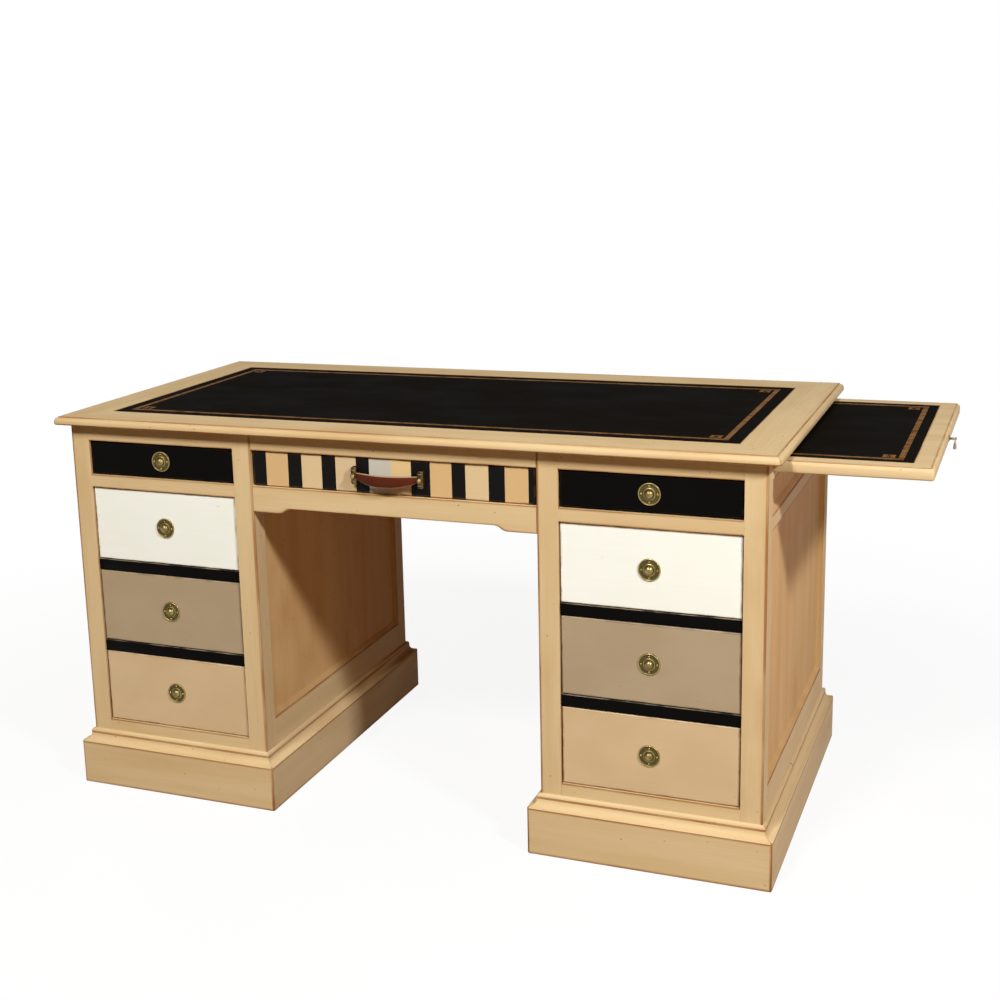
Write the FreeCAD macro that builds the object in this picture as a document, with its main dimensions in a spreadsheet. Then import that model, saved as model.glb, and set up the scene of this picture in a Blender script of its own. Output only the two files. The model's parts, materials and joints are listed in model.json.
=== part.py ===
"""Kneehole desk on two pedestals: leather top, nine drawers and two sliding side leaves.

Millimetres. The origin is on the floor under the middle of the desk, with +X to the right of someone who
faces the drawers, +Y to the back and +Z up. The right leaf stands drawn out and the left leaf is pushed in.
"""
import FreeCAD
import Part
import Sketcher

import math
import os
from types import SimpleNamespace

SIZES = {
    # overall and carcase
    "height": 780,
    "body_width": 1390,
    "body_depth": 690,
    "pedestal_width": 408,
    "post_width": 40,
    "post_ease": 2.5,
    "rail_thickness": 22,
    "top_rail_height": 33,
    "frieze_opening": 70,
    "mid_rail_height": 25.5,
    "divider_height": 23,
    "divider_setback": 4,
    "bottom_rail_height": 24,
    "side_bottom_rail_height": 57,
    # top frame with its thumbnail edge, and the leather let into it
    "top_thickness": 16,
    "top_overhang": 25,
    "top_frame_width": 87,
    "nose_radius": 8.5,
    "nose_quirk": 2,
    "nose_under_radius": 3,
    "leather_thickness": 1.6,
    "leather_sink": 0.2,
    # sunk panels
    "panel_reveal": 1,
    "panel_lip": 2,
    "panel_bevel": 9,
    "panel_recess": 8,
    # plinth and its moulding
    "plinth_height": 92,
    "plinth_projection": 21,
    "plinth_ease": 2,
    "moulding_fillet": 4,
    "bead_radius": 6,
    # shaped apron over the kneehole
    "apron_height": 51,
    "apron_foot": 55,
    "ogee_run": 28,
    "ogee_rise": 10,
    # drawers
    "drawer_clearance": 1.5,
    "drawer_front_thickness": 20,
    "drawer_front_ease": 1.5,
    "frieze_setback": 4.5,
    "pedestal_setback": 4,
    "drawer_board": 12,
    "drawer_side_clearance": 2,
    "drawer_bottom_thickness": 6,
    "drawer_bottom_lift": 8,
    "drawer_headroom": 18,
    "drawer_back_gap": 50,
    "runner_height": 18,
    "runner_clearance": 0.3,
    # knobs
    "rosette_radius": 20.3,
    "rosette_rim": 2,
    "rosette_dome": 2,
    "knob_radius": 8.5,
    "knob_height": 6,
    # strap handle of the centre drawer
    "bracket_spacing": 134,
    "bracket_width": 12,
    "bracket_height": 34,
    "bracket_thickness": 12,
    "bracket_lug_radius": 5.5,
    "pin_standoff": 10.5,
    "pin_radius": 2.4,
    "pin_length": 16,
    "pin_clearance": 0.05,
    "strap_thickness": 5,
    "strap_height": 23,
    "strap_end_height": 10,
    "strap_bow": 14,
    "strap_eye_radius": 5,
    "strap_eye_length": 12,
    "strap_end_gap": 1,
    "rivet_radius": 4.5,
    # side leaves
    "leaf_length": 385,
    "leaf_thickness": 21,
    "leaf_top_gap": 5,
    "leaf_side_clearance": 4,
    "leaf_running_clearance": 0.3,
    "leaf_out": 258,
    "leaf_proud": 5,
    "leaf_border": 36,
    "leaf_edge_radius": 4,
    "leaf_leather_thickness": 1.2,
    "guide_height": 12,
    "guide_width": 24,
    # drop pulls on the ends of the leaves
    "pull_base_radius": 6,
    "pull_base_thickness": 2,
    "pull_rod_radius": 2.2,
    "pull_rod_length": 8,
    "pull_bridge": 2,
    "pull_fork_gap": 2.6,
    "pull_cheek": 1.6,
    "pull_pin_radius": 1.1,
    "pull_eye_radius": 2.6,
    "pull_eye_width": 2,
    "pull_eye_clearance": 0.6,
    "pull_stem_radius": 0.9,
    "pull_stem_length": 2.5,
    "pull_drop_length": 12,
    "pull_drop_radius": 3,
}

doc = FreeCAD.newDocument("kneehole_desk")
sheet = doc.addObject("Spreadsheet::Sheet", "sizes")
for row, (alias, number) in enumerate(SIZES.items(), start=1):
    sheet.set(f"A{row}", alias)
    sheet.set(f"B{row}", str(number))
    sheet.setAlias(f"B{row}", alias)
doc.recompute()


class Size:
    """A length that carries its formula for the sheet beside its present value."""

    def __init__(self, formula, value):
        self.formula = formula
        self.value = value

    def joined(self, sign, other, value):
        return Size(f"({self.formula} {sign} {other.formula})", value)

    def __add__(self, other):
        other = as_size(other)
        return self.joined("+", other, self.value + other.value)

    def __sub__(self, other):
        other = as_size(other)
        return self.joined("-", other, self.value - other.value)

    def __mul__(self, other):
        other = as_size(other)
        return self.joined("*", other, self.value * other.value)

    def __truediv__(self, other):
        other = as_size(other)
        return self.joined("/", other, self.value / other.value)

    def __neg__(self):
        return ZERO - self


def as_size(number):
    """A plain number as a size, and a size as it is."""
    return number if isinstance(number, Size) else Size(str(number), float(number))


ZERO = as_size(0)
s = SimpleNamespace(**{alias: Size(f"sizes.{alias}", float(number)) for alias, number in SIZES.items()})

# Levels and lines that several pieces share
half_width = s.body_width / 2
half_depth = s.body_depth / 2
front_y = -half_depth
top_half_width = half_width + s.top_overhang
top_half_depth = half_depth + s.top_overhang
under_z = s.height - s.top_thickness
frieze_top_z = under_z - s.top_rail_height
frieze_low_z = frieze_top_z - s.frieze_opening
pedestal_top_z = frieze_low_z - s.mid_rail_height
cove_radius = s.plinth_projection - s.plinth_ease - s.bead_radius
body_low_z = s.plinth_height + cove_radius + s.moulding_fillet + s.bead_radius
pedestal_low_z = body_low_z + s.bottom_rail_height
side_panel_low_z = body_low_z + s.side_bottom_rail_height
drawer_opening = (pedestal_top_z - pedestal_low_z - s.divider_height * 2) / 3
kneehole_half = half_width - s.pedestal_width
opening_near_x = kneehole_half + s.post_width
opening_width = s.pedestal_width - s.post_width * 2
between_posts = s.body_depth - s.post_width * 2
post_back_y = front_y + s.post_width
panel_thickness = s.rail_thickness - s.panel_reveal
leaf_low_z = under_z - s.leaf_top_gap - s.leaf_thickness
guide_top_z = leaf_low_z - s.leaf_running_clearance
guide_low_z = guide_top_z - s.guide_height
leaf_depth = between_posts - s.leaf_side_clearance * 2

SIDES = {"left": -1, "right": 1}
LEVELS = {"upper": 2, "middle": 1, "lower": 0}
X_AXIS = FreeCAD.Vector(1, 0, 0)
Y_AXIS = FreeCAD.Vector(0, 1, 0)
Z_AXIS = FreeCAD.Vector(0, 0, 1)
TOUCH = 1e-6

nodes = []


def bind(thing, **formulas):
    """Ties properties of an object to the sheet."""
    for name, size in formulas.items():
        thing.setExpression(name, as_size(size).formula)


def place(thing, x, y, z, turn=0, axis=Z_AXIS):
    """Puts an object at a point, turned by a number of degrees about an axis."""
    thing.Placement = FreeCAD.Placement(FreeCAD.Vector(), FreeCAD.Rotation(axis, turn))
    for letter, size in zip("xyz", (x, y, z)):
        thing.setExpression(f"Placement.Base.{letter}", as_size(size).formula)
    return thing


def node(thing):
    """Marks an object as a sub-part, which is written to its own file."""
    nodes.append(thing)
    return thing


def board(name, x, y, z, length, width, height):
    """A square-cut board whose lowest corner is at x, y, z."""
    piece = doc.addObject("Part::Box", name)
    bind(piece, Length=length, Width=width, Height=height)
    return place(piece, x, y, z)


def side_board(name, side, near_x, y, z, length, width, height):
    """A board on the left or right half, whose edge nearest the middle is near_x from it."""
    low_x = near_x if side > 0 else -(near_x + length)
    return board(name, low_x, y, z, length, width, height)


def rod(name, radius, length, x, y, z, turn=0, axis=Z_AXIS):
    """A round bar that starts at x, y, z and runs along +Z before it is turned."""
    piece = doc.addObject("Part::Cylinder", name)
    bind(piece, Radius=radius, Height=length)
    return place(piece, x, y, z, turn, axis)


def group(name, pieces):
    """Separate solids that share one node."""
    together = doc.addObject("Part::Compound", name)
    together.Links = pieces
    return node(together)


def fused(name, pieces):
    """One solid made of several overlapping ones."""
    whole = doc.addObject("Part::MultiFuse", name)
    whole.Shapes = pieces
    return whole


def cut(name, base, tool):
    """One solid with another taken out of it."""
    rest = doc.addObject("Part::Cut", name)
    rest.Base = base
    rest.Tool = tool
    return rest


def origin_plane(body, role):
    """The origin plane of a body that has this role."""
    return next(plane for plane in body.Origin.OriginFeatures if plane.Role == role)


def arc_between(start, end, radius, leftward):
    """The short arc between two points, with its centre to the left or right of the way from start to end.

    Gives the arc, which turns anticlockwise, and whether it begins at start.
    """
    middle = (start + end) / 2
    way = end - start
    aside = FreeCAD.Vector(-way.y, way.x, 0).normalize() * (1 if leftward else -1)
    centre = middle + aside * math.sqrt(max(radius**2 - (way.Length / 2) ** 2, 0))
    first, last = (start, end) if leftward else (end, start)
    angles = [math.atan2(point.y - centre.y, point.x - centre.x) for point in (first, last)]
    if angles[1] < angles[0]:
        angles[1] += 2 * math.pi
    return Part.ArcOfCircle(Part.Circle(centre, Z_AXIS, radius), *angles), leftward


def outline(body, name, role, corners, arcs=None):
    """A closed sketch on an origin plane, with every corner and radius tied to the sheet.

    corners are pairs of sizes in order. arcs gives, for the side after a corner's number, its radius and
    whether its centre lies to the left of the way round.
    """
    arcs = arcs or {}
    sketch = body.newObject("Sketcher::SketchObject", name)
    sketch.AttachmentSupport = [(origin_plane(body, role), "")]
    sketch.MapMode = "FlatFace"
    corners = [(as_size(u), as_size(v)) for u, v in corners]
    points = [FreeCAD.Vector(u.value, v.value, 0) for u, v in corners]
    ends = []
    for index, start in enumerate(points):
        end = points[(index + 1) % len(points)]
        if index in arcs:
            radius, leftward = arcs[index]
            curve, onward = arc_between(start, end, radius.value, leftward)
            side = sketch.addGeometry(curve, False)
            number = sketch.addConstraint(Sketcher.Constraint("Radius", side, radius.value))
            sketch.setExpression(f"Constraints[{number}]", radius.formula)
        else:
            side = sketch.addGeometry(Part.LineSegment(start, end), False)
            onward = True
        ends.append((side, (1, 2) if onward else (2, 1)))
    for index, (u, v) in enumerate(corners):
        side, (begin, _) = ends[index]
        before, (_, finish) = ends[index - 1]
        sketch.addConstraint(Sketcher.Constraint("Coincident", before, finish, side, begin))
        for kind, line, size in (("DistanceX", -2, u), ("DistanceY", -1, v)):
            if size is ZERO or size.formula == "0":
                sketch.addConstraint(Sketcher.Constraint("PointOnObject", side, begin, line))
            else:
                number = sketch.addConstraint(Sketcher.Constraint(kind, -1, 1, side, begin, size.value))
                sketch.setExpression(f"Constraints[{number}]", size.formula)
    return sketch


def rectangle(body, name, role, low_u, low_v, high_u, high_v):
    """A rectangular sketch between two corners."""
    return outline(body, name, role, [(low_u, low_v), (high_u, low_v), (high_u, high_v), (low_u, high_v)])


def padded(body, sketch, length):
    """A solid raised from a sketch along its normal."""
    pad = body.newObject("PartDesign::Pad", f"{body.Name}_pad")
    pad.Profile = sketch
    bind(pad, Length=length)
    doc.recompute()
    return pad


def pocketed(body, sketch):
    """A cut from a sketch along its normal, right through what lies on that side."""
    volume = body.Shape.Volume
    pocket = body.newObject("PartDesign::Pocket", f"{sketch.Name}_cut")
    pocket.Profile = sketch
    pocket.Reversed = True
    pocket.Type = "ThroughAll"
    doc.recompute()
    if body.Shape.Volume >= volume - TOUCH:
        raise RuntimeError(f"{pocket.Name} takes nothing off")
    return pocket


def eased(body, base, radius, chosen):
    """Rounds the edges of a body's last feature that a test chooses."""
    names = [f"Edge{number}" for number, edge in enumerate(base.Shape.Edges, start=1) if chosen(edge)]
    fillet = body.newObject("PartDesign::Fillet", f"{body.Name}_ease")
    fillet.Base = (base, names)
    bind(fillet, Radius=radius)
    doc.recompute()
    return fillet


def all_at(edge, letter, value):
    """Whether every end of an edge has this coordinate."""
    return all(abs(getattr(vertex.Point, letter) - value) < 1e-4 for vertex in edge.Vertexes)


def mitred_board(name, length, depth, corners, arcs, x, y, z, turn):
    """A moulded board cut to 45 degrees at both ends.

    Its section is drawn with the outer edge at 0 and the inner edge at depth, and its longer, outer edge
    starts at x, y, z and runs along +X before it is turned.
    """
    body = doc.addObject("PartDesign::Body", name)
    section = outline(body, f"{name}_section", "YZ_Plane", corners, arcs)
    padded(body, section, length)
    ends = {
        "start": [(0, 0), (depth, depth), (0, depth)],
        "end": [(length, 0), (length, depth), (length - depth, depth)],
    }
    for end, mitre in ends.items():
        pocketed(body, outline(body, f"{name}_{end}", "XY_Plane", mitre))
    return place(body, x, y, z, turn)


def mitred_frame(name, low_x, high_x, depth, corners, arcs, half_length, z):
    """Four moulded boards round a rectangle that is centred in Y: front, right, back and left."""
    across = high_x - low_x
    along = half_length * 2
    starts = {
        "front": (across, low_x, -half_length, 0),
        "right": (along, high_x, -half_length, 90),
        "back": (across, high_x, half_length, 180),
        "left": (along, low_x, half_length, 270),
    }
    return {
        place_name: mitred_board(f"{name}_{place_name}_rail", length, depth, corners, arcs, x, y, z, turn)
        for place_name, (length, x, y, turn) in starts.items()
    }


def make_top():
    """The moulded frame of the top, its board and the leather let into it."""
    nose_z = s.top_thickness - s.nose_quirk
    corners = [
        (s.nose_under_radius, 0),
        (s.top_frame_width, 0),
        (s.top_frame_width, s.top_thickness),
        (s.nose_radius, s.top_thickness),
        (s.nose_radius, nose_z),
        (0, nose_z - s.nose_radius),
        (0, s.nose_under_radius),
    ]
    arcs = {4: (s.nose_radius, True), 6: (s.nose_under_radius, True)}
    rails = mitred_frame(
        "top", -top_half_width, top_half_width, s.top_frame_width, corners, arcs, top_half_depth, under_z
    )
    for rail in rails.values():
        node(rail)
    inner_x = top_half_width - s.top_frame_width
    inner_y = top_half_depth - s.top_frame_width
    panel_height = s.top_thickness - s.leather_thickness - s.leather_sink
    node(board("top_panel", -inner_x, -inner_y, under_z, inner_x * 2, inner_y * 2, panel_height))
    leather_z = under_z + panel_height
    node(board("top_leather", -inner_x, -inner_y, leather_z, inner_x * 2, inner_y * 2, s.leather_thickness))


def make_post(name, x, y, turn):
    """A square post from the floor to the top, with its exposed corner edge eased."""
    body = doc.addObject("PartDesign::Body", name)
    section = rectangle(body, f"{name}_section", "XY_Plane", 0, 0, s.post_width, s.post_width)
    pad = padded(body, section, under_z)
    eased(body, pad, s.post_ease, lambda edge: all_at(edge, "x", 0) and all_at(edge, "y", 0))
    return place(body, x, y, 0, turn)


def sunk_panel(name, width, height, x, y, z, turn):
    """A panel whose field lies below a sloping border; its face looks along -Y before it is turned."""
    slab = doc.addObject("Part::Box", f"{name}_slab")
    bind(slab, Length=width, Width=panel_thickness, Height=height)
    field = doc.addObject("Part::Wedge", f"{name}_field")
    inner = s.panel_lip + s.panel_bevel
    bind(field, Xmin=s.panel_lip, Xmax=width - s.panel_lip, Zmin=s.panel_lip, Zmax=height - s.panel_lip)
    bind(field, X2min=inner, X2max=width - inner, Z2min=inner, Z2max=height - inner)
    bind(field, Ymin=0, Ymax=s.panel_recess)
    return place(cut(name, slab, field), x, y, z, turn)


def make_pedestal(word, side):
    """Posts, side rails, side panels and plinth of one pedestal."""
    low_x = kneehole_half if side > 0 else -half_width
    high_x = half_width if side > 0 else -kneehole_half
    corners = {
        "front_left": (low_x, front_y, 0),
        "front_right": (high_x, front_y, 90),
        "back_right": (high_x, half_depth, 180),
        "back_left": (low_x, half_depth, 270),
    }
    group(f"{word}_posts", [make_post(f"{word}_post_{name}", *corner) for name, corner in corners.items()])

    outer_x = half_width - s.rail_thickness
    low_rail_height = side_panel_low_z - s.plinth_height
    spans = {
        "outer_bearer": (outer_x, guide_low_z, s.guide_height),
        "outer_mid": (outer_x, pedestal_top_z, s.mid_rail_height),
        "outer_bottom": (outer_x, s.plinth_height, low_rail_height),
        "inner_top": (kneehole_half, pedestal_top_z, guide_top_z - pedestal_top_z),
        "inner_bottom": (kneehole_half, s.plinth_height, low_rail_height),
    }
    thick = s.rail_thickness
    rails = [
        side_board(f"{word}_{name}_rail", side, x, post_back_y, z, thick, between_posts, tall)
        for name, (x, z, tall) in spans.items()
    ]
    group(f"{word}_side_rails", rails)

    tall = pedestal_top_z - side_panel_low_z
    outward = 90 if side > 0 else 270
    inward = 360 - outward
    outer_face = (half_width - s.panel_reveal) * side
    inner_face = (kneehole_half + s.panel_reveal) * side
    outer_start = post_back_y * side
    fields = {
        "outer_lower": (tall, outer_face, outer_start, side_panel_low_z, outward),
        "outer_upper": (guide_low_z - frieze_low_z, outer_face, outer_start, frieze_low_z, outward),
        "inner": (tall, inner_face, -outer_start, side_panel_low_z, inward),
    }
    panels = [sunk_panel(f"{word}_{name}_panel", between_posts, *field) for name, field in fields.items()]
    group(f"{word}_side_panels", panels)
    make_plinth(word, low_x - s.plinth_projection, high_x + s.plinth_projection)


def make_plinth(word, low_x, high_x):
    """The four plinth boards of one pedestal, with a cove and a bead run along their upper edge."""
    bead_low_z = body_low_z - s.bead_radius
    bead_y = s.plinth_projection - s.bead_radius
    corners = [
        (0, 0),
        (s.plinth_projection, 0),
        (s.plinth_projection, body_low_z),
        (bead_y, bead_low_z),
        (bead_y, bead_low_z - s.moulding_fillet),
        (s.plinth_ease, s.plinth_height),
        (0, s.plinth_height - s.plinth_ease),
    ]
    arcs = {2: (s.bead_radius, True), 4: (cove_radius, False), 5: (s.plinth_ease, True)}
    rails = mitred_frame(
        f"{word}_plinth",
        low_x,
        high_x,
        s.plinth_projection,
        corners,
        arcs,
        half_depth + s.plinth_projection,
        ZERO,
    )
    group(f"{word}_plinth", list(rails.values()))


def make_front_frame():
    """Rails of the front between the posts, and the black dividers between the pedestal drawers."""
    thick = s.rail_thickness
    span = kneehole_half * 2
    top_rails = [
        board("centre_top_rail", -kneehole_half, front_y, frieze_top_z, span, thick, s.top_rail_height)
    ]
    rails = []
    dividers = []
    low_height = pedestal_low_z - s.plinth_height
    for word, side in SIDES.items():
        spans = {
            "top": (top_rails, frieze_top_z, s.top_rail_height),
            "mid": (rails, pedestal_top_z, s.mid_rail_height),
            "bottom": (rails, s.plinth_height, low_height),
        }
        for name, (rail_list, z, height) in spans.items():
            rail = side_board(
                f"{word}_{name}_rail", side, opening_near_x, front_y, z, opening_width, thick, height
            )
            rail_list.append(rail)
        for level in (1, 2):
            z = pedestal_low_z + drawer_opening * level + s.divider_height * (level - 1)
            y = front_y + s.divider_setback
            depth = s.post_width - s.divider_setback
            name = f"{word}_divider_{level}"
            divider = side_board(
                name, side, opening_near_x, y, z, opening_width, depth, s.divider_height
            )
            dividers.append(divider)
    group("front_top_rails", top_rails)
    group("front_rails", rails)
    group("divider_rails", dividers)


def make_back():
    """Rails and sunk panels of the pedestals' backs."""
    rails = []
    panels = []
    y = half_depth - s.rail_thickness
    tall = pedestal_top_z - side_panel_low_z
    for word, side in SIDES.items():
        spans = {
            "back_top": (pedestal_top_z, under_z - pedestal_top_z),
            "back_bottom": (s.plinth_height, side_panel_low_z - s.plinth_height),
        }
        for name, (z, height) in spans.items():
            rails.append(
                side_board(
                    f"{word}_{name}_rail", side, opening_near_x, y, z, opening_width, s.rail_thickness, height
                )
            )
        far_x = opening_near_x + opening_width if side > 0 else -opening_near_x
        face_y = half_depth - s.panel_reveal
        panels.append(
            sunk_panel(f"{word}_back_panel", opening_width, tall, far_x, face_y, side_panel_low_z, 180)
        )
    group("back_rails", rails)
    group("back_panels", panels)


def make_apron(name, top_z, back_y):
    """A board across the kneehole whose lower edge steps up in an ogee beside each post."""
    low_z = frieze_low_z - s.apron_height
    high_z = low_z + s.ogee_rise
    middle_z = low_z + s.ogee_rise / 2
    foot_x = kneehole_half - s.apron_foot
    rise_x = foot_x - s.ogee_run
    middle_x = foot_x - s.ogee_run / 2
    curve = (s.ogee_run * s.ogee_run + s.ogee_rise * s.ogee_rise) / (s.ogee_rise * 4)
    corners = [
        (-kneehole_half, low_z),
        (-foot_x, low_z),
        (-middle_x, middle_z),
        (-rise_x, high_z),
        (rise_x, high_z),
        (middle_x, middle_z),
        (foot_x, low_z),
        (kneehole_half, low_z),
        (kneehole_half, top_z),
        (-kneehole_half, top_z),
    ]
    arcs = {1: (curve, True), 2: (curve, False), 4: (curve, False), 5: (curve, True)}
    body = doc.addObject("PartDesign::Body", name)
    padded(body, outline(body, f"{name}_outline", "XZ_Plane", corners, arcs), s.rail_thickness)
    node(place(body, ZERO, back_y, ZERO))


def make_runners():
    """Strips under both sides of every drawer, fixed between the front and back posts."""
    bearing = s.drawer_side_clearance + s.drawer_board
    reach = s.post_width - s.rail_thickness + bearing
    far_x = opening_near_x + opening_width - bearing
    near_x = kneehole_half + s.rail_thickness
    runners = []
    for word, side in SIDES.items():
        levels = {"frieze": frieze_low_z}
        for level_name, level in LEVELS.items():
            levels[level_name] = pedestal_low_z + (drawer_opening + s.divider_height) * level
        for level_name, z in levels.items():
            for place_name, x in (("near", near_x), ("far", far_x)):
                name = f"{word}_{level_name}_{place_name}_runner"
                low_z = z - s.runner_height
                runners.append(
                    side_board(name, side, x, post_back_y, low_z, reach, between_posts, s.runner_height)
                )
        runners.append(
            side_board(
                f"{word}_centre_runner",
                side,
                kneehole_half - bearing,
                post_back_y,
                frieze_low_z - s.runner_height,
                bearing,
                between_posts,
                s.runner_height,
            )
        )
    group("drawer_runners", runners)


def make_drawer(name, low_x, low_z, width, height, setback):
    """Front and box of a drawer whose opening has its lower left corner at low_x, low_z.

    Gives the front's middle point on its face.
    """
    gap = s.drawer_clearance
    back_y = front_y + setback + s.drawer_front_thickness
    front = doc.addObject("PartDesign::Body", f"{name}_front")
    face = rectangle(front, f"{name}_face", "XZ_Plane", 0, 0, width - gap * 2, height - gap * 2)
    pad = padded(front, face, s.drawer_front_thickness)
    face_at = -s.drawer_front_thickness.value
    eased(front, pad, s.drawer_front_ease, lambda edge: all_at(edge, "y", face_at))
    node(place(front, low_x + gap, back_y, low_z + gap))

    length = s.body_depth - s.rail_thickness - setback - s.drawer_front_thickness - s.drawer_back_gap
    box_x = low_x + s.drawer_side_clearance
    box_width = width - s.drawer_side_clearance * 2
    box_z = low_z + s.runner_clearance
    box_height = height - s.drawer_headroom
    inside_x = box_x + s.drawer_board
    inside_width = box_width - s.drawer_board * 2
    right_x = inside_x + inside_width
    bottom_z = box_z + s.drawer_bottom_lift
    back_z = bottom_z + s.drawer_bottom_thickness
    back_height = box_height - s.drawer_bottom_lift - s.drawer_bottom_thickness
    far_y = back_y + length - s.drawer_board
    boards = [
        board(f"{name}_left_side", box_x, back_y, box_z, s.drawer_board, length, box_height),
        board(f"{name}_right_side", right_x, back_y, box_z, s.drawer_board, length, box_height),
        board(f"{name}_bottom", inside_x, back_y, bottom_z, inside_width, length, s.drawer_bottom_thickness),
        board(f"{name}_back", inside_x, far_y, back_z, inside_width, s.drawer_board, back_height),
    ]
    group(f"{name}_box", boards)
    return low_x + width / 2, front_y + setback, low_z + height / 2


def make_knob(name, x, y, z):
    """A low domed knob on a broad rosette, standing out of a drawer front along -Y."""
    knob_low = s.rosette_rim + s.rosette_dome
    dome_radius = (s.knob_radius * s.knob_radius + s.knob_height * s.knob_height) / (s.knob_height * 2)
    corners = [
        (0, 0),
        (s.rosette_radius, 0),
        (s.rosette_radius, s.rosette_rim),
        (s.knob_radius, knob_low),
        (0, knob_low + s.knob_height),
    ]
    body = doc.addObject("PartDesign::Body", name)
    section = outline(body, f"{name}_section", "XZ_Plane", corners, {3: (dome_radius, True)})
    turned = body.newObject("PartDesign::Revolution", f"{name}_turning")
    turned.Profile = section
    turned.ReferenceAxis = (section, ["V_Axis"])
    turned.Angle = 360
    node(place(body, x, y, z, 90, X_AXIS))


def make_drawers():
    """All nine drawers, with a knob on each but the centre one."""
    for word, side in SIDES.items():
        low_x = opening_near_x if side > 0 else -(opening_near_x + opening_width)
        knob_at = make_drawer(
            f"{word}_frieze_drawer", low_x, frieze_low_z, opening_width, s.frieze_opening, s.frieze_setback
        )
        make_knob(f"{word}_frieze_knob", *knob_at)
        for level_name, level in LEVELS.items():
            low_z = pedestal_low_z + (drawer_opening + s.divider_height) * level
            knob_at = make_drawer(
                f"{word}_{level_name}_drawer", low_x, low_z, opening_width, drawer_opening, s.pedestal_setback
            )
            make_knob(f"{word}_{level_name}_knob", *knob_at)
    return make_drawer(
        "centre_drawer", -kneehole_half, frieze_low_z, kneehole_half * 2, s.frieze_opening, s.frieze_setback
    )


def make_handle(x, face_y, z):
    """The strap handle of the centre drawer: two brackets with pins and rivets, and a bowed leather strap."""
    pin_y = face_y - s.pin_standoff
    lug_length = s.pin_standoff + s.bracket_lug_radius
    brackets = []
    rivets = []
    for word, side in SIDES.items():
        middle_x = s.bracket_spacing / 2 * side
        plate = board(
            f"{word}_bracket_plate",
            middle_x - s.bracket_width / 2,
            face_y - s.bracket_thickness,
            z - s.bracket_height / 2,
            s.bracket_width,
            s.bracket_thickness,
            s.bracket_height,
        )
        lug = rod(f"{word}_bracket_lug", s.bracket_lug_radius, lug_length, middle_x, face_y, z, 90, X_AXIS)
        pin_end = middle_x - s.pin_length * side
        pin_start = pin_end if side > 0 else middle_x
        pin = rod(f"{word}_bracket_pin", s.pin_radius, s.pin_length, pin_start, pin_y, z, 90, Y_AXIS)
        brackets.append(fused(f"{word}_bracket", [plate, lug, pin]))
        dome = doc.addObject("Part::Sphere", f"{word}_rivet")
        bind(dome, Radius=s.rivet_radius)
        dome.Angle1 = 0
        rivets.append(place(dome, middle_x, face_y - lug_length, z, 90, X_AXIS))
    group("handle_brackets", brackets)
    group("handle_rivets", rivets)
    node(make_strap("handle_strap", x, pin_y, z))


def make_strap(name, x, pin_y, z):
    """A leather strap that bows out between two eyes, which turn on the bracket pins."""
    half = s.bracket_spacing / 2 - s.bracket_lug_radius - s.strap_end_gap
    shift = s.strap_thickness / 2
    bow_radius = (half * half + s.strap_bow * s.strap_bow) / (s.strap_bow * 2)
    bow = doc.addObject("PartDesign::Body", f"{name}_bow")
    corners = [(-half, -shift), (half, -shift), (half, shift), (-half, shift)]
    arcs = {0: (bow_radius, True), 2: (bow_radius, False)}
    padded(bow, outline(bow, f"{name}_bow_outline", "XY_Plane", corners, arcs), s.strap_height)
    place(bow, ZERO, ZERO, -(s.strap_height / 2))

    taper = doc.addObject("PartDesign::Body", f"{name}_taper")
    end_z = s.strap_end_height / 2
    full_z = s.strap_height / 2
    upper = [(half, end_z), (half / 2, full_z), (-(half / 2), full_z), (-half, end_z)]
    lower = [(x_at, -z_at) for x_at, z_at in reversed(upper)]
    depth = s.strap_bow + s.strap_thickness * 2
    padded(taper, outline(taper, f"{name}_taper_outline", "XZ_Plane", lower + upper), depth)
    place(taper, ZERO, s.strap_thickness, ZERO)
    band = doc.addObject("Part::MultiCommon", f"{name}_band")
    band.Shapes = [bow, taper]

    eye_length = s.strap_eye_length
    bore_radius = s.pin_radius + s.pin_clearance
    bore_depth = s.pin_length - s.bracket_lug_radius
    eyes = []
    bores = []
    for word, side in SIDES.items():
        eye_x = half - eye_length if side > 0 else -half
        bore_x = half - bore_depth if side > 0 else -half
        eyes.append(rod(f"{name}_{word}_eye", s.strap_eye_radius, eye_length, eye_x, 0, 0, 90, Y_AXIS))
        bores.append(rod(f"{name}_{word}_bore", bore_radius, bore_depth, bore_x, 0, 0, 90, Y_AXIS))
    solid = fused(f"{name}_solid", [band, *eyes])
    return place(cut(name, solid, fused(f"{name}_bores", bores)), x, pin_y, z)


def make_leaf(word, side, end_x):
    """A side leaf: board with rounded edges, leather let into it, and a drop pull on its outer end."""
    turn = 0 if side > 0 else 180
    inner_x = end_x - s.leaf_length
    half = leaf_depth / 2
    leather_half = half - s.leaf_border
    far_x = s.leaf_length - s.leaf_border
    body = doc.addObject("PartDesign::Body", f"{word}_leaf")
    plan = rectangle(body, f"{word}_leaf_plan", "XY_Plane", 0, -half, s.leaf_length, half)
    pad = padded(body, plan, s.leaf_thickness)
    eased(body, pad, s.leaf_edge_radius, lambda edge: not all_at(edge, "x", 0))
    bed = rectangle(
        body, f"{word}_leaf_bed", "XY_Plane", s.leaf_border, -leather_half, far_x, leather_half
    )
    bed_z = s.leaf_thickness - s.leaf_leather_thickness
    bed.setExpression("AttachmentOffset.Base.z", bed_z.formula)
    pocketed(body, bed)
    node(place(body, inner_x * side, 0, leaf_low_z, turn))

    leather = doc.addObject("Part::Box", f"{word}_leaf_leather")
    bind(leather, Length=far_x - s.leaf_border, Width=leather_half * 2, Height=s.leaf_leather_thickness)
    leather_x = (inner_x + s.leaf_border) * side
    node(place(leather, leather_x, -(leather_half * side), leaf_low_z + bed_z, turn))
    make_pull(word, end_x * side, leaf_low_z + s.leaf_thickness / 2, turn)


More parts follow.
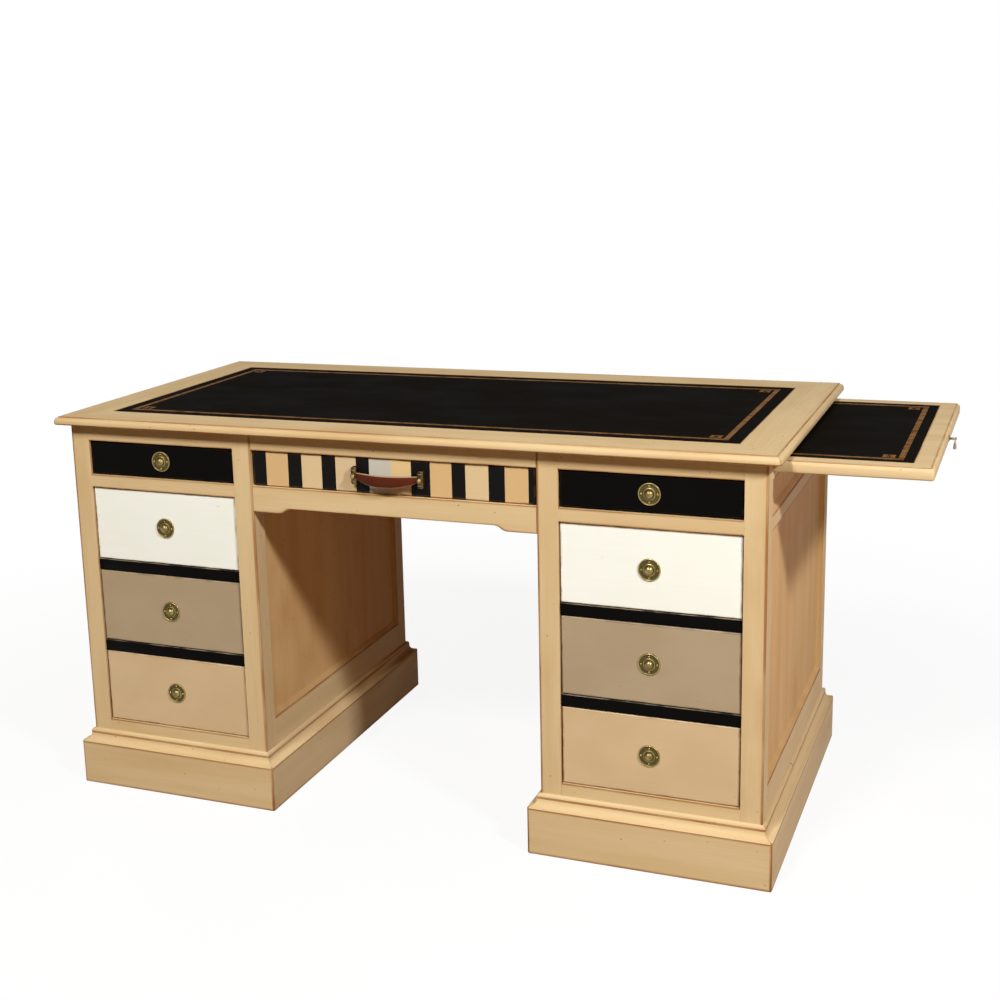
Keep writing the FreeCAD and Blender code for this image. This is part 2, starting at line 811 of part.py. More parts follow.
def make_pull(word, x, z, turn):
    """A forked post on the end of a leaf, and the drop that hangs on its pin."""
    name = f"{word}_leaf_pull"
    pin_x = s.pull_rod_length + s.pull_eye_radius + s.pull_eye_clearance
    fork_x = s.pull_rod_length - s.pull_bridge
    fork_width = s.pull_fork_gap + s.pull_cheek * 2
    fork_z = s.pull_rod_radius
    post = [
        rod(f"{name}_base", s.pull_base_radius, s.pull_base_thickness, 0, 0, 0, 90, Y_AXIS),
        rod(f"{name}_rod", s.pull_rod_radius, s.pull_rod_length, 0, 0, 0, 90, Y_AXIS),
        board(f"{name}_bridge", fork_x, -(fork_width / 2), -fork_z, s.pull_bridge, fork_width, fork_z * 2),
        rod(f"{name}_pin", s.pull_pin_radius, fork_width, pin_x, -(fork_width / 2), 0, -90, X_AXIS),
    ]
    cheek_length = pin_x + s.pull_eye_radius - fork_x
    for cheek, y in (("near", -(fork_width / 2)), ("far", s.pull_fork_gap / 2)):
        post.append(
            board(f"{name}_{cheek}_cheek", fork_x, y, -fork_z, cheek_length, s.pull_cheek, fork_z * 2)
        )
    node(place(fused(f"{name}_post", post), x, 0, z, turn))

    stem_z = -(s.pull_eye_radius + s.pull_stem_length)
    low_z = stem_z - s.pull_drop_length
    eye_y = -(s.pull_eye_width / 2)
    weight = doc.addObject("Part::Cone", f"{name}_weight")
    bind(weight, Radius1=s.pull_drop_radius, Radius2=s.pull_stem_radius, Height=s.pull_drop_length)
    place(weight, pin_x, 0, low_z)
    tip = doc.addObject("Part::Sphere", f"{name}_tip")
    bind(tip, Radius=s.pull_drop_radius)
    place(tip, pin_x, 0, low_z)
    drop = [
        rod(f"{name}_eye", s.pull_eye_radius, s.pull_eye_width, pin_x, eye_y, 0, -90, X_AXIS),
        rod(f"{name}_stem", s.pull_stem_radius, -stem_z, pin_x, 0, stem_z),
        weight,
        tip,
    ]
    bore_radius = s.pull_pin_radius + s.pin_clearance
    bore = rod(f"{name}_bore", bore_radius, s.pull_eye_width, pin_x, eye_y, 0, -90, X_AXIS)
    node(place(cut(f"{name}_drop", fused(f"{name}_drop_solid", drop), bore), x, 0, z, turn))


def make_guides():
    """Strips beside the posts that the leaves slide on."""
    near_x = kneehole_half + s.rail_thickness
    length = half_width - s.rail_thickness - near_x
    guides = []
    for word, side in SIDES.items():
        for end, y in (("front", post_back_y), ("back", -post_back_y - s.guide_width)):
            guide = side_board(
                f"{word}_{end}_guide", side, near_x, y, guide_low_z, length, s.guide_width, s.guide_height
            )
            guides.append(guide)
    group("leaf_guides", guides)


def write_nodes():
    """Checks every object of the document and writes each sub-part to its own file."""
    doc.recompute()
    for thing in doc.Objects:
        if "Invalid" in thing.State or "Error" in thing.State:
            raise RuntimeError(f"{thing.Name}: {thing.State}")
    for piece in nodes:
        if piece.Shape.isNull() or not piece.Shape.isValid():
            raise RuntimeError(f"{piece.Label} has no valid shape")
    os.makedirs("parts", exist_ok=True)
    for piece in nodes:
        piece.Shape.exportStep(f"parts/{piece.Label}.step")
    print(len(nodes), "sub-parts written")


make_top()
for side_word, side_sign in SIDES.items():
    make_pedestal(side_word, side_sign)
make_front_frame()
make_back()
make_apron("front_apron", frieze_low_z, front_y + s.rail_thickness)
make_apron("back_apron", under_z, half_depth)
make_runners()
make_guides()
make_handle(*make_drawers())
make_leaf("left", SIDES["left"], half_width + s.leaf_proud)
make_leaf("right", SIDES["right"], half_width + s.leaf_out)
write_nodes()
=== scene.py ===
"""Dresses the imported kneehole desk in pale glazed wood, satin paint, tooled leather and aged brass.

Metres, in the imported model's own frame: +X to the right of someone who faces the drawers, +Y to the back,
+Z up, with the origin on the floor under the middle of the desk.
"""
import json
import logging
import math
import random
from dataclasses import dataclass, replace
from enum import Enum
from typing import Any, Iterable, Sequence

import bpy
from mathutils import Matrix, Vector


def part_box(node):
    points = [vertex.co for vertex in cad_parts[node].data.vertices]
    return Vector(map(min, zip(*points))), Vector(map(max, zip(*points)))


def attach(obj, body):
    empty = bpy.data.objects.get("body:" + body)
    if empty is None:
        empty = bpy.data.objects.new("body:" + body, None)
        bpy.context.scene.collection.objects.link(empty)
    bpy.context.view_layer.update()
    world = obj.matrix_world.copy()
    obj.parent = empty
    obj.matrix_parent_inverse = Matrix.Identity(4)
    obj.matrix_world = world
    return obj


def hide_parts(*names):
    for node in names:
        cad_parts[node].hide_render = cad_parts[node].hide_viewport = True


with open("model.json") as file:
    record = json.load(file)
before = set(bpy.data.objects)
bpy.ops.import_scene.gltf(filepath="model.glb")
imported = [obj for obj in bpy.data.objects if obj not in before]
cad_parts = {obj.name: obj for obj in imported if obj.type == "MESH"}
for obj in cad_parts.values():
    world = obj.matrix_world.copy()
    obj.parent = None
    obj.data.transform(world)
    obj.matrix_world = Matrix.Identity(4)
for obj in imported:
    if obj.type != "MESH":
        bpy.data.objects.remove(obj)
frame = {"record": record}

LOG = logging.getLogger("desk")
MM = 0.001
BEYOND = 1.0  # a distance that no edge effect reaches
NEARLY_NONE = 1e-6  # a length that counts as none
STAIN_AND_SHADE_DEPTH = 1.2 * MM  # the distance to an edge at which a face counts as stained, which also darkens the posts' inner cheeks with painted shade
THIN_STAIN_DEPTH = 0.7 * STAIN_AND_SHADE_DEPTH  # that distance on the thinly glazed stretches of a moulding
EDGE_WIDTH = 3 * MM  # a face narrower than this is an edge and not a side
EASE_BEND = 0.29  # how far in the middle of a rounded edge lies, as a share of its radius
LEAST_RADIUS = 0.15 * MM  # of a corner, so that its points never fall together
DRAWER_GAP = 1.5 * MM  # between a drawer front and the rail under it
CORNERS = (0, 1, 2, 3)  # of an outline
SMOOTH = {"interpolation_type": "SMOOTHSTEP"}
RGBA = {"data_type": "RGBA"}  # a mix whose inputs 0, 6 and 7 are the share and the two colours
WHITE = (1.0, 1.0, 1.0, 1.0)
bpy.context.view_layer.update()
Ring = tuple[float, float]
Point = tuple[float, float]
Place = tuple[float, float, float]
Mark = tuple[Vector, Vector]
Node = bpy.types.Node
Socket = bpy.types.NodeSocket
Tree = bpy.types.NodeTree
BODY_OF = {node: body for body, nodes in frame["record"]["behaviour"]["bodies"].items() for node in nodes}


class Axis(Enum):
    """An axis of the desk's frame."""

    X = 0
    Y = 1
    Z = 2


class Settle(Enum):
    """Where brown glaze settles on a stretch of a moulding."""

    EDGES = "along both edges"
    NOWHERE = "nowhere"
    THINLY = "thinly all over"
    ALL_OVER = "all over"


class Side(Enum):
    """A half of the desk, with the sign of its X."""

    LEFT = -1
    RIGHT = 1

    @property
    def word(self) -> str:
        """The side's name in lower case."""
        return self.name.lower()


# Finishes


def linear(code: str) -> tuple[float, float, float, float]:
    """Turns an sRGB hex colour to linear light.

    Args:
        code: Six hex digits.

    Returns:
        Red, green, blue and an alpha of 1.
    """
    parts = [int(code[start:start + 2], 16) / 255 for start in (0, 2, 4)]
    return (*(part / 12.92 if part <= 0.04045 else ((part + 0.055) / 1.055) ** 2.4 for part in parts), 1.0)


def add_node(
    tree: Tree,
    kind: str,
    inputs: dict[int | str, Any] | Sequence[Any] = (),
    stops: Sequence[tuple[float, str]] = (),
    **settings: Any,
) -> Node:
    """Adds a node with its settings and links.

    Args:
        tree: The node tree that it goes into.
        kind: The node's type name, after the part that all shader nodes share.
        inputs: Values by input name or number, or a row of them for the first inputs. A socket is linked,
            a node is linked by its first output in use, and anything else is set.
        stops: Places and hex colours of a colour ramp.
        settings: Properties of the node.

    Returns:
        The node.
    """
    made = tree.nodes.new(f"ShaderNode{kind}")
    for key, value in settings.items():
        setattr(made, key, value)
    for key, value in inputs.items() if isinstance(inputs, dict) else enumerate(inputs):
        if isinstance(value, Node):
            value = next(output for output in value.outputs if output.enabled)
        if isinstance(value, Socket):
            tree.links.new(value, made.inputs[key])
        else:
            made.inputs[key].default_value = value
    for number, (place, code) in enumerate(stops):
        band = made.color_ramp.elements
        stop = band[number] if number < min(len(band), 2) else band.new(place)
        stop.position = place
        stop.color = linear(code)
    return made


def start_material(name: str) -> tuple[bpy.types.Material, Tree]:
    """Makes an empty material.

    Args:
        name: Its name.

    Returns:
        The material and its node tree.
    """
    made = bpy.data.materials.new(name)
    made.use_nodes = True
    tree = made.node_tree
    tree.nodes.clear()
    return made, tree


def lay_surface(tree: Tree, inputs: dict[str, Any]) -> None:
    """Ends a material with the shader of its surface, whose inputs are given by name."""
    shader = add_node(tree, "BsdfPrincipled", inputs)
    add_node(tree, "OutputMaterial", {"Surface": shader})


def stretched_noise(
    tree: Tree, place: Socket, along_mm: float, across_mm: float, detail: float = 3.0
) -> Node:
    """Noise whose features have a real size.

    Args:
        tree: The node tree.
        place: Coordinates in metres, along the grain first.
        along_mm: Length of a feature along the grain.
        across_mm: Width of a feature across it.
        detail: Octaves of finer noise.

    Returns:
        The noise, near 0.5 on average.
    """
    scale = (1 / (along_mm * MM), 1 / (across_mm * MM), 1 / (across_mm * MM))
    scaled = add_node(tree, "Mapping", {"Vector": place, "Scale": scale})
    return add_node(tree, "TexNoise", {"Vector": scaled, "Scale": 1.0, "Detail": detail})


def edge_distance(tree: Tree) -> Node:
    """Finds how near an edge a place on a board's face lies.

    Args:
        tree: The node tree.

    Returns:
        Metres to the nearest edge.
    """
    parts: list[Any] = []
    for name in ("edge_near", "edge_far"):
        stored = add_node(tree, "Attribute", attribute_name=name)
        parts.extend(add_node(tree, "SeparateXYZ", {"Vector": stored.outputs["Vector"]}).outputs)
    least = parts[0]
    for part in parts[1:]:
        least = add_node(tree, "Math", (least, part), operation="MINIMUM")
    return least


def specks(tree: Tree, place: Socket, apart_mm: float, radius_mm: float) -> Node:
    """Small scattered marks, twice as long along the grain as across it.

    Args:
        tree: The node tree.
        place: Coordinates in metres, along the grain first.
        apart_mm: Usual distance between marks.
        radius_mm: Half the width of the largest mark.

    Returns:
        1 inside a mark and 0 outside.
    """
    split = add_node(tree, "SeparateXYZ", {"Vector": place}).outputs
    along = add_node(tree, "Math", (split["X"], 0.5), operation="MULTIPLY")
    across = add_node(tree, "Math", (split["Y"], split["Z"]), operation="ADD")
    flat = add_node(tree, "CombineXYZ", {"X": along, "Y": across})
    cell = {"Vector": flat, "Scale": 1 / (apart_mm * MM)}
    cells = add_node(tree, "TexVoronoi", cell, voronoi_dimensions="2D")
    chance = add_node(tree, "SeparateColor", {"Color": cells.outputs["Color"]})
    size = add_node(tree, "MapRange", (chance, 0.25, 1.0, 0.0, radius_mm / apart_mm), **SMOOTH)
    return add_node(tree, "Math", (cells, size), operation="LESS_THAN")


def tinted(
    tree: Tree,
    colour: Any,
    tint: str,
    pattern: Any,
    limits: tuple[float, float],
    shares: tuple[float, float],
    hold: Node | None = None,
) -> Node:
    """Mixes a tint into a colour where a pattern asks for it.

    Args:
        tree: The node tree.
        colour: The colour so far.
        tint: The tint, as six hex digits.
        pattern: The pattern.
        limits: A low and a high value of the pattern.
        shares: The tint's share at the low value and at the high one.
        hold: A second pattern that the share is multiplied by.

    Returns:
        The mixed colour.
    """
    share = add_node(tree, "MapRange", (pattern, *limits, *shares), **SMOOTH)
    if hold is not None:
        share = add_node(tree, "Math", (share, hold), operation="MULTIPLY")
    return add_node(tree, "Mix", {0: share, 6: colour, 7: linear(tint)}, **RGBA)


@dataclass(frozen=True)
class GlazedWood:
    """Pale cherry, planed, given a stain, glazed brown along its edges and waxed."""

    name: str
    pale: str = "DEC496"
    deep: str = "D2B27F"
    warm: str = "C39A66"
    glaze: str = "945A28"
    speck: str = "6B4423"
    glaze_mm: float = 2.8
    glaze_share: float = 0.85
    roughness: float = 0.5
    specular: float = 0.05
    warm_mm: float = 6.0

    def material(self) -> bpy.types.Material:
        """The wood, whose fine grain and rubbed-through edges the eye sees under a soft wax sheen.

        Returns:
            The material.
        """
        made, tree = start_material(self.name)
        place = add_node(tree, "Attribute", attribute_name="grain").outputs["Vector"]
        # Real pores are 0.1 mm wide, too fine to show, so fibres are drawn 2.5 mm wide and 110 mm long.
        fibre = stretched_noise(tree, place, 110, 2.5, 4.0)
        figure = stretched_noise(tree, place, 620, 45)
        patina = stretched_noise(tree, place, 210, 110)
        rubbed = stretched_noise(tree, place, 140, 90, 4.0)
        marks = specks(tree, place, 44, 1.1)
        edge = edge_distance(tree)
        hold = add_node(tree, "MapRange", (rubbed, 0.32, 0.66, 0.5, 1.0), **SMOOTH)
        glazed = (0.2 * MM, self.glaze_mm * MM)
        colour = tinted(tree, linear(self.pale), self.deep, figure, (0.3, 0.7), (0.0, 0.6))
        colour = tinted(tree, colour, self.warm, fibre, (0.42, 0.74), (0.0, 0.14))
        colour = tinted(tree, colour, self.warm, patina, (0.48, 0.78), (0.0, 0.4))
        colour = tinted(tree, colour, self.warm, edge, (0.0, self.warm_mm * MM), (0.2, 0.0), hold)
        colour = tinted(tree, colour, self.glaze, edge, glazed, (self.glaze_share, 0.0), hold)
        colour = tinted(tree, colour, self.speck, marks, (0.0, 1.0), (0.0, 0.6))
        sheen = (self.roughness - 0.06, self.roughness + 0.08)
        rough = add_node(tree, "MapRange", (fibre, 0.3, 0.7, *sheen), **SMOOTH)
        bump = add_node(tree, "Bump", {"Height": fibre, "Distance": 0.2 * MM, "Strength": 0.25})
        surface = {"Base Color": colour, "Roughness": rough, "Normal": bump}
        lay_surface(tree, surface | {"Specular IOR Level": self.specular})
        return made


@dataclass(frozen=True)
class SatinPaint:
    """Brushed satin paint on wood, rubbed through a little along its edges."""

    name: str
    colour: str
    shade: str
    worn: str
    worn_share: float = 0.5
    speck_share: float = 0.55
    roughness: float = 0.4
    specular: float = 0.4
    stripes: tuple[tuple[float, str], ...] = ()

    def material(self) -> bpy.types.Material:
        """The paint, even but for faint brush marks, tiny dark specks and worn edges.

        Returns:
            The material.
        """
        made, tree = start_material(self.name)
        place = add_node(tree, "Attribute", attribute_name="grain").outputs["Vector"]
        # Bristle marks are 0.5 mm wide, too fine to show, so they are drawn 3 mm wide.
        brush = stretched_noise(tree, place, 220, 3)
        rubbed = stretched_noise(tree, place, 45, 30)
        if self.stripes:
            across = add_node(tree, "Attribute", attribute_name="stripe").outputs["Fac"]
            colour = add_node(tree, "ValToRGB", {"Fac": across}, self.stripes)
            colour.color_ramp.interpolation = "CONSTANT"
        else:
            cloud = stretched_noise(tree, place, 120, 90, 2.0)
            colour = tinted(tree, linear(self.colour), self.shade, cloud, (0.3, 0.7), (0.0, 0.5))
        streak = add_node(tree, "MapRange", (brush, 0.3, 0.72, 1.0, 0.985), **SMOOTH)
        colour = add_node(tree, "Mix", {0: 1.0, 6: colour, 7: streak}, blend_type="MULTIPLY", **RGBA)
        hold = add_node(tree, "MapRange", (rubbed, 0.4, 0.65, 0.1, 1.0), **SMOOTH)
        rim = (0.2 * MM, 2.4 * MM)
        colour = tinted(tree, colour, self.worn, edge_distance(tree), rim, (self.worn_share, 0.0), hold)
        marks = specks(tree, place, 70, 0.8)
        colour = tinted(tree, colour, self.worn, marks, (0.0, 1.0), (0.0, self.speck_share))
        sheen = (self.roughness - 0.05, self.roughness + 0.07)
        rough = add_node(tree, "MapRange", (brush, 0.3, 0.7, *sheen), **SMOOTH)
        bump = add_node(tree, "Bump", {"Height": brush, "Distance": 0.12 * MM, "Strength": 0.3})
        surface = {"Base Color": colour, "Roughness": rough, "Normal": bump}
        lay_surface(tree, surface | {"Specular IOR Level": self.specular})
        return made


@dataclass(frozen=True)
class TannedLeather:
    """Dyed and glazed hide with a fine pebbled grain."""

    name: str
    colour: str
    shade: str
    rim: str
    rim_mm: float
    pebble_mm: float
    roughness: float
    specular: float

    def material(self) -> bpy.types.Material:
        """The hide, which breaks up a soft sheen with its pebbles and pales at cut edges.

        Returns:
            The material.
        """
        made, tree = start_material(self.name)
        place = add_node(tree, "Attribute", attribute_name="grain").outputs["Vector"]
        # Real pebbles are under 1 mm, too fine to show, so they are drawn a little coarser.
        cell = {"Vector": place, "Scale": 1 / (self.pebble_mm * MM)}
        pebble = add_node(tree, "TexVoronoi", cell, feature="SMOOTH_F1")
        cloud = stretched_noise(tree, place, 160, 120)
        colour = tinted(tree, linear(self.colour), self.shade, cloud, (0.3, 0.72), (0.0, 1.0))
        if self.rim_mm:
            rim = (self.rim_mm * 0.4 * MM, self.rim_mm * MM)
            colour = tinted(tree, colour, self.rim, edge_distance(tree), rim, (0.85, 0.0))
        sheen = (self.roughness - 0.06, self.roughness + 0.08)
        rough = add_node(tree, "MapRange", (cloud, 0.3, 0.7, *sheen), **SMOOTH)
        bump = add_node(tree, "Bump", {"Height": pebble, "Distance": 0.18 * MM, "Strength": 0.4})
        surface = {"Base Color": colour, "Roughness": rough, "Normal": bump}
        lay_surface(tree, surface | {"Specular IOR Level": self.specular})
        return made


@dataclass(frozen=True)
class AgedMetal:
    """Cast metal, left to tarnish and rubbed bright where hands touch it."""

    name: str
    bright: str
    dark: str
    tarnish_low: float
    tarnish_high: float
    roughness: float

    def material(self) -> bpy.types.Material:
        """The metal, bright on what stands proud and brown in the hollows.

        Returns:
            The material.
        """
        made, tree = start_material(self.name)
        place = add_node(tree, "Attribute", attribute_name="grain").outputs["Vector"]
        cloud = stretched_noise(tree, place, 9, 9, 4.0)
        proud = add_node(tree, "NewGeometry").outputs["Pointiness"]
        raised = add_node(tree, "MapRange", (proud, 0.46, 0.56, 0.0, 1.0), **SMOOTH)
        blend = add_node(tree, "Math", (raised, cloud), operation="ADD")
        share = add_node(tree, "MapRange", (blend, self.tarnish_low, self.tarnish_high, 1.0, 0.0), **SMOOTH)
        colour = add_node(tree, "Mix", {0: share, 6: linear(self.bright), 7: linear(self.dark)}, **RGBA)
        sheen = (self.roughness, self.roughness + 0.22)
        rough = add_node(tree, "MapRange", (share, 0.0, 1.0, *sheen), **SMOOTH)
        bump = add_node(tree, "Bump", {"Height": cloud, "Distance": 0.15 * MM, "Strength": 0.25})
        lay_surface(tree, {"Base Color": colour, "Metallic": 1.0, "Roughness": rough, "Normal": bump})
        return made


@dataclass(frozen=True)
class GiltFoil:
    """Gold foil pressed into leather with a hot wheel, worn thin."""

    name: str
    bright: str
    dark: str
    bare: float = 0.75

    def material(self) -> bpy.types.Material:
        """The foil, a dull brown gold that is thinner in patches.

        Returns:
            The material.
        """
        made, tree = start_material(self.name)
        place = add_node(tree, "Attribute", attribute_name="grain").outputs["Vector"]
        wear = stretched_noise(tree, place, 30, 12, 4.0)
        share = add_node(tree, "MapRange", (wear, 0.42, 0.68, 0.0, self.bare), **SMOOTH)
        colour = add_node(tree, "Mix", {0: share, 6: linear(self.bright), 7: linear(self.dark)}, **RGBA)
        rough = add_node(tree, "MapRange", (share, 0.0, self.bare, 0.38, 0.6), **SMOOTH)
        surface = {"Base Color": colour, "Metallic": 0.3, "Roughness": rough}
        lay_surface(tree, surface | {"Specular IOR Level": 0.1})
        return made


# Under its wax the grain is fine and pale, the sheen soft, and glaze leaves brown lines along edges.
WOOD = GlazedWood("cherry_glazed_and_waxed")
# Stained more deeply than the frame round it, it looks redder and duller.
PANEL_WOOD = GlazedWood("cherry_panel_stained_and_waxed", "DFB67E", "D1A266", "BC8649", specular=0.03)
# Thicker glaze gives it broader and darker edges.
PLINTH_WOOD = GlazedWood("cherry_plinth_glazed_and_waxed", glaze="9C5C26", glaze_mm=5.0, glaze_share=0.95)
# Without wax or glaze it looks dry and even, with hardly a line along its edges.
BARE_WOOD = GlazedWood(
    "poplar_planed_bare", "D9BC93", "C7A274", "B98F60", "8A6238", "6A4A2C", 1.5, 0.25, 0.62
)
# The brush leaves a deep black with a faint sheen and a little brown along its edges.
BLACK = SatinPaint("black_lacquer_brushed", "080706", "0C0B09", "3A2716", 0.5, 0.0, 0.42, 0.035)
# The same lacquer, with a pale line painted along its edges as the highlight that they catch.
BLACK_WITH_PAINTED_HIGHLIGHT = replace(BLACK, name="black_lacquer_brushed_and_rubbed", worn="A08F76", worn_share=0.7)
# Brushed satin paints look even, with small dark specks and brown edges where they are rubbed.
CREAM = SatinPaint("cream_satin_paint_brushed", "FBFDF3", "F8FAEA", "8E7350")
TAUPE = SatinPaint("taupe_satin_paint_brushed", "B09C7D", "A68F6E", "5C452E")
BEIGE = SatinPaint("beige_satin_paint_brushed", "D6BA90", "CDAE82", "7A5836")
# So dark a dye leaves only a dull sheen, broken up by the pebbled grain.
BLACK_HIDE = TannedLeather("calf_hide_dyed_black", "0F0C08", "130F0A", "15130F", 0.0, 2.2, 0.6, 0.012)
# A thicker hide with a low polish and pale cut edges.
OXBLOOD_HIDE = TannedLeather("saddle_hide_dyed_oxblood", "5E2A16", "4C1D0E", "B79A78", 2.2, 1.6, 0.45, 0.1)
# Casting and age leave it yellow on what stands proud and brown in the hollows.
BRASS = AgedMetal("brass_cast_and_aged", "A8945E", "5E5230", 0.7, 1.35, 0.36)
# Darkened on purpose, it is nearly black but where it is rubbed.
BRONZE = AgedMetal("bronze_cast_and_darkened", "7A6444", "1A140E", 1.1, 1.6, 0.4)
# Turned and never polished since, it is greyer and its reflections are soft.
DULL_BRASS = AgedMetal("brass_turned_and_dulled", "B3A590", "6E6250", 0.7, 1.35, 0.42)
# The hot wheel leaves lines of brown gold, broken where the foil is worn.
GILT = GiltFoil("gold_foil_hot_pressed", "A06C2C", "5E3C18")
# What is left of the foil between the lines looks like a darker haze.
GILT_GROUND = GiltFoil("gold_foil_hot_pressed_and_worn", "7A4E20", "4A2D10")
Finish = GlazedWood | SatinPaint | TannedLeather | AgedMetal | GiltFoil
PAINTS = {"upper": CREAM, "middle": TAUPE, "lower": BEIGE, "frieze": BLACK}


# Meshes


def quad(first: Sequence[Any], second: Sequence[Any], index: int) -> list[Any]:
    """Picks the four corners between two closed rows.

    Args:
        first: A row.
        second: The row beyond it.
        index: The place along them.

    Returns:
        Two corners of the first row, then two of the second, on the way round.
    """
    after = (index + 1) % len(first)
    return [first[index], first[after], second[after], second[index]]


def from_mm(points: Iterable[Point]) -> list[Point]:
    """Turns points written in millimetres to metres."""
    return [(first * MM, second * MM) for first, second in points]


def arc(centre: Point, radius: float, start_deg: float, end_deg: float, steps: int) -> list[Point]:
    """Points along an arc.

    Args:
        centre: Its centre.
        radius: Its radius.
        start_deg: Angle of its first point.
        end_deg: Angle of its last point.
        steps: Straight runs that it is drawn with.

    Returns:
        The points, one more than the steps.
    """
    angles = [math.radians(start_deg + (end_deg - start_deg) * step / steps) for step in range(steps + 1)]
    return [(centre[0] + radius * math.cos(angle), centre[1] + radius * math.sin(angle)) for angle in angles]


def rounded_loop(
    low: Sequence[float], high: Sequence[float], axis: Axis, ring: Ring, rounds: Sequence[float], steps: int
) -> list[Vector]:
    """Points round a rectangle with rounded corners.

    Args:
        low: Lowest corner of the box that it is inset from.
        high: Highest corner of that box.
        axis: The axis that it lies across.
        ring: Its inset from the box and its height above the box's low side.
        rounds: The box's corner radii.
        steps: Faces round each corner.

    Returns:
        The points, anticlockwise as seen from the axis's far end.
    """
    a, b = (axis.value + 1) % 3, (axis.value + 2) % 3
    inset, height = ring
    corners = (
        (low[a] + inset, low[b] + inset, 1, 1),
        (high[a] - inset, low[b] + inset, -1, 1),
        (high[a] - inset, high[b] - inset, -1, -1),
        (low[a] + inset, high[b] - inset, 1, -1),
    )
    loop = []
    for number, (u, v, u_sign, v_sign) in enumerate(corners):
        radius = max(rounds[number] - inset, LEAST_RADIUS)
        for step in range(steps + 1):
            angle = math.pi + (number + step / steps) * math.pi / 2
            point = Vector((0.0, 0.0, 0.0))
            point[a] = u + u_sign * radius + radius * math.cos(angle)
            point[b] = v + v_sign * radius + radius * math.sin(angle)
            point[axis.value] = low[axis.value] + height
            loop.append(point)
    return loop


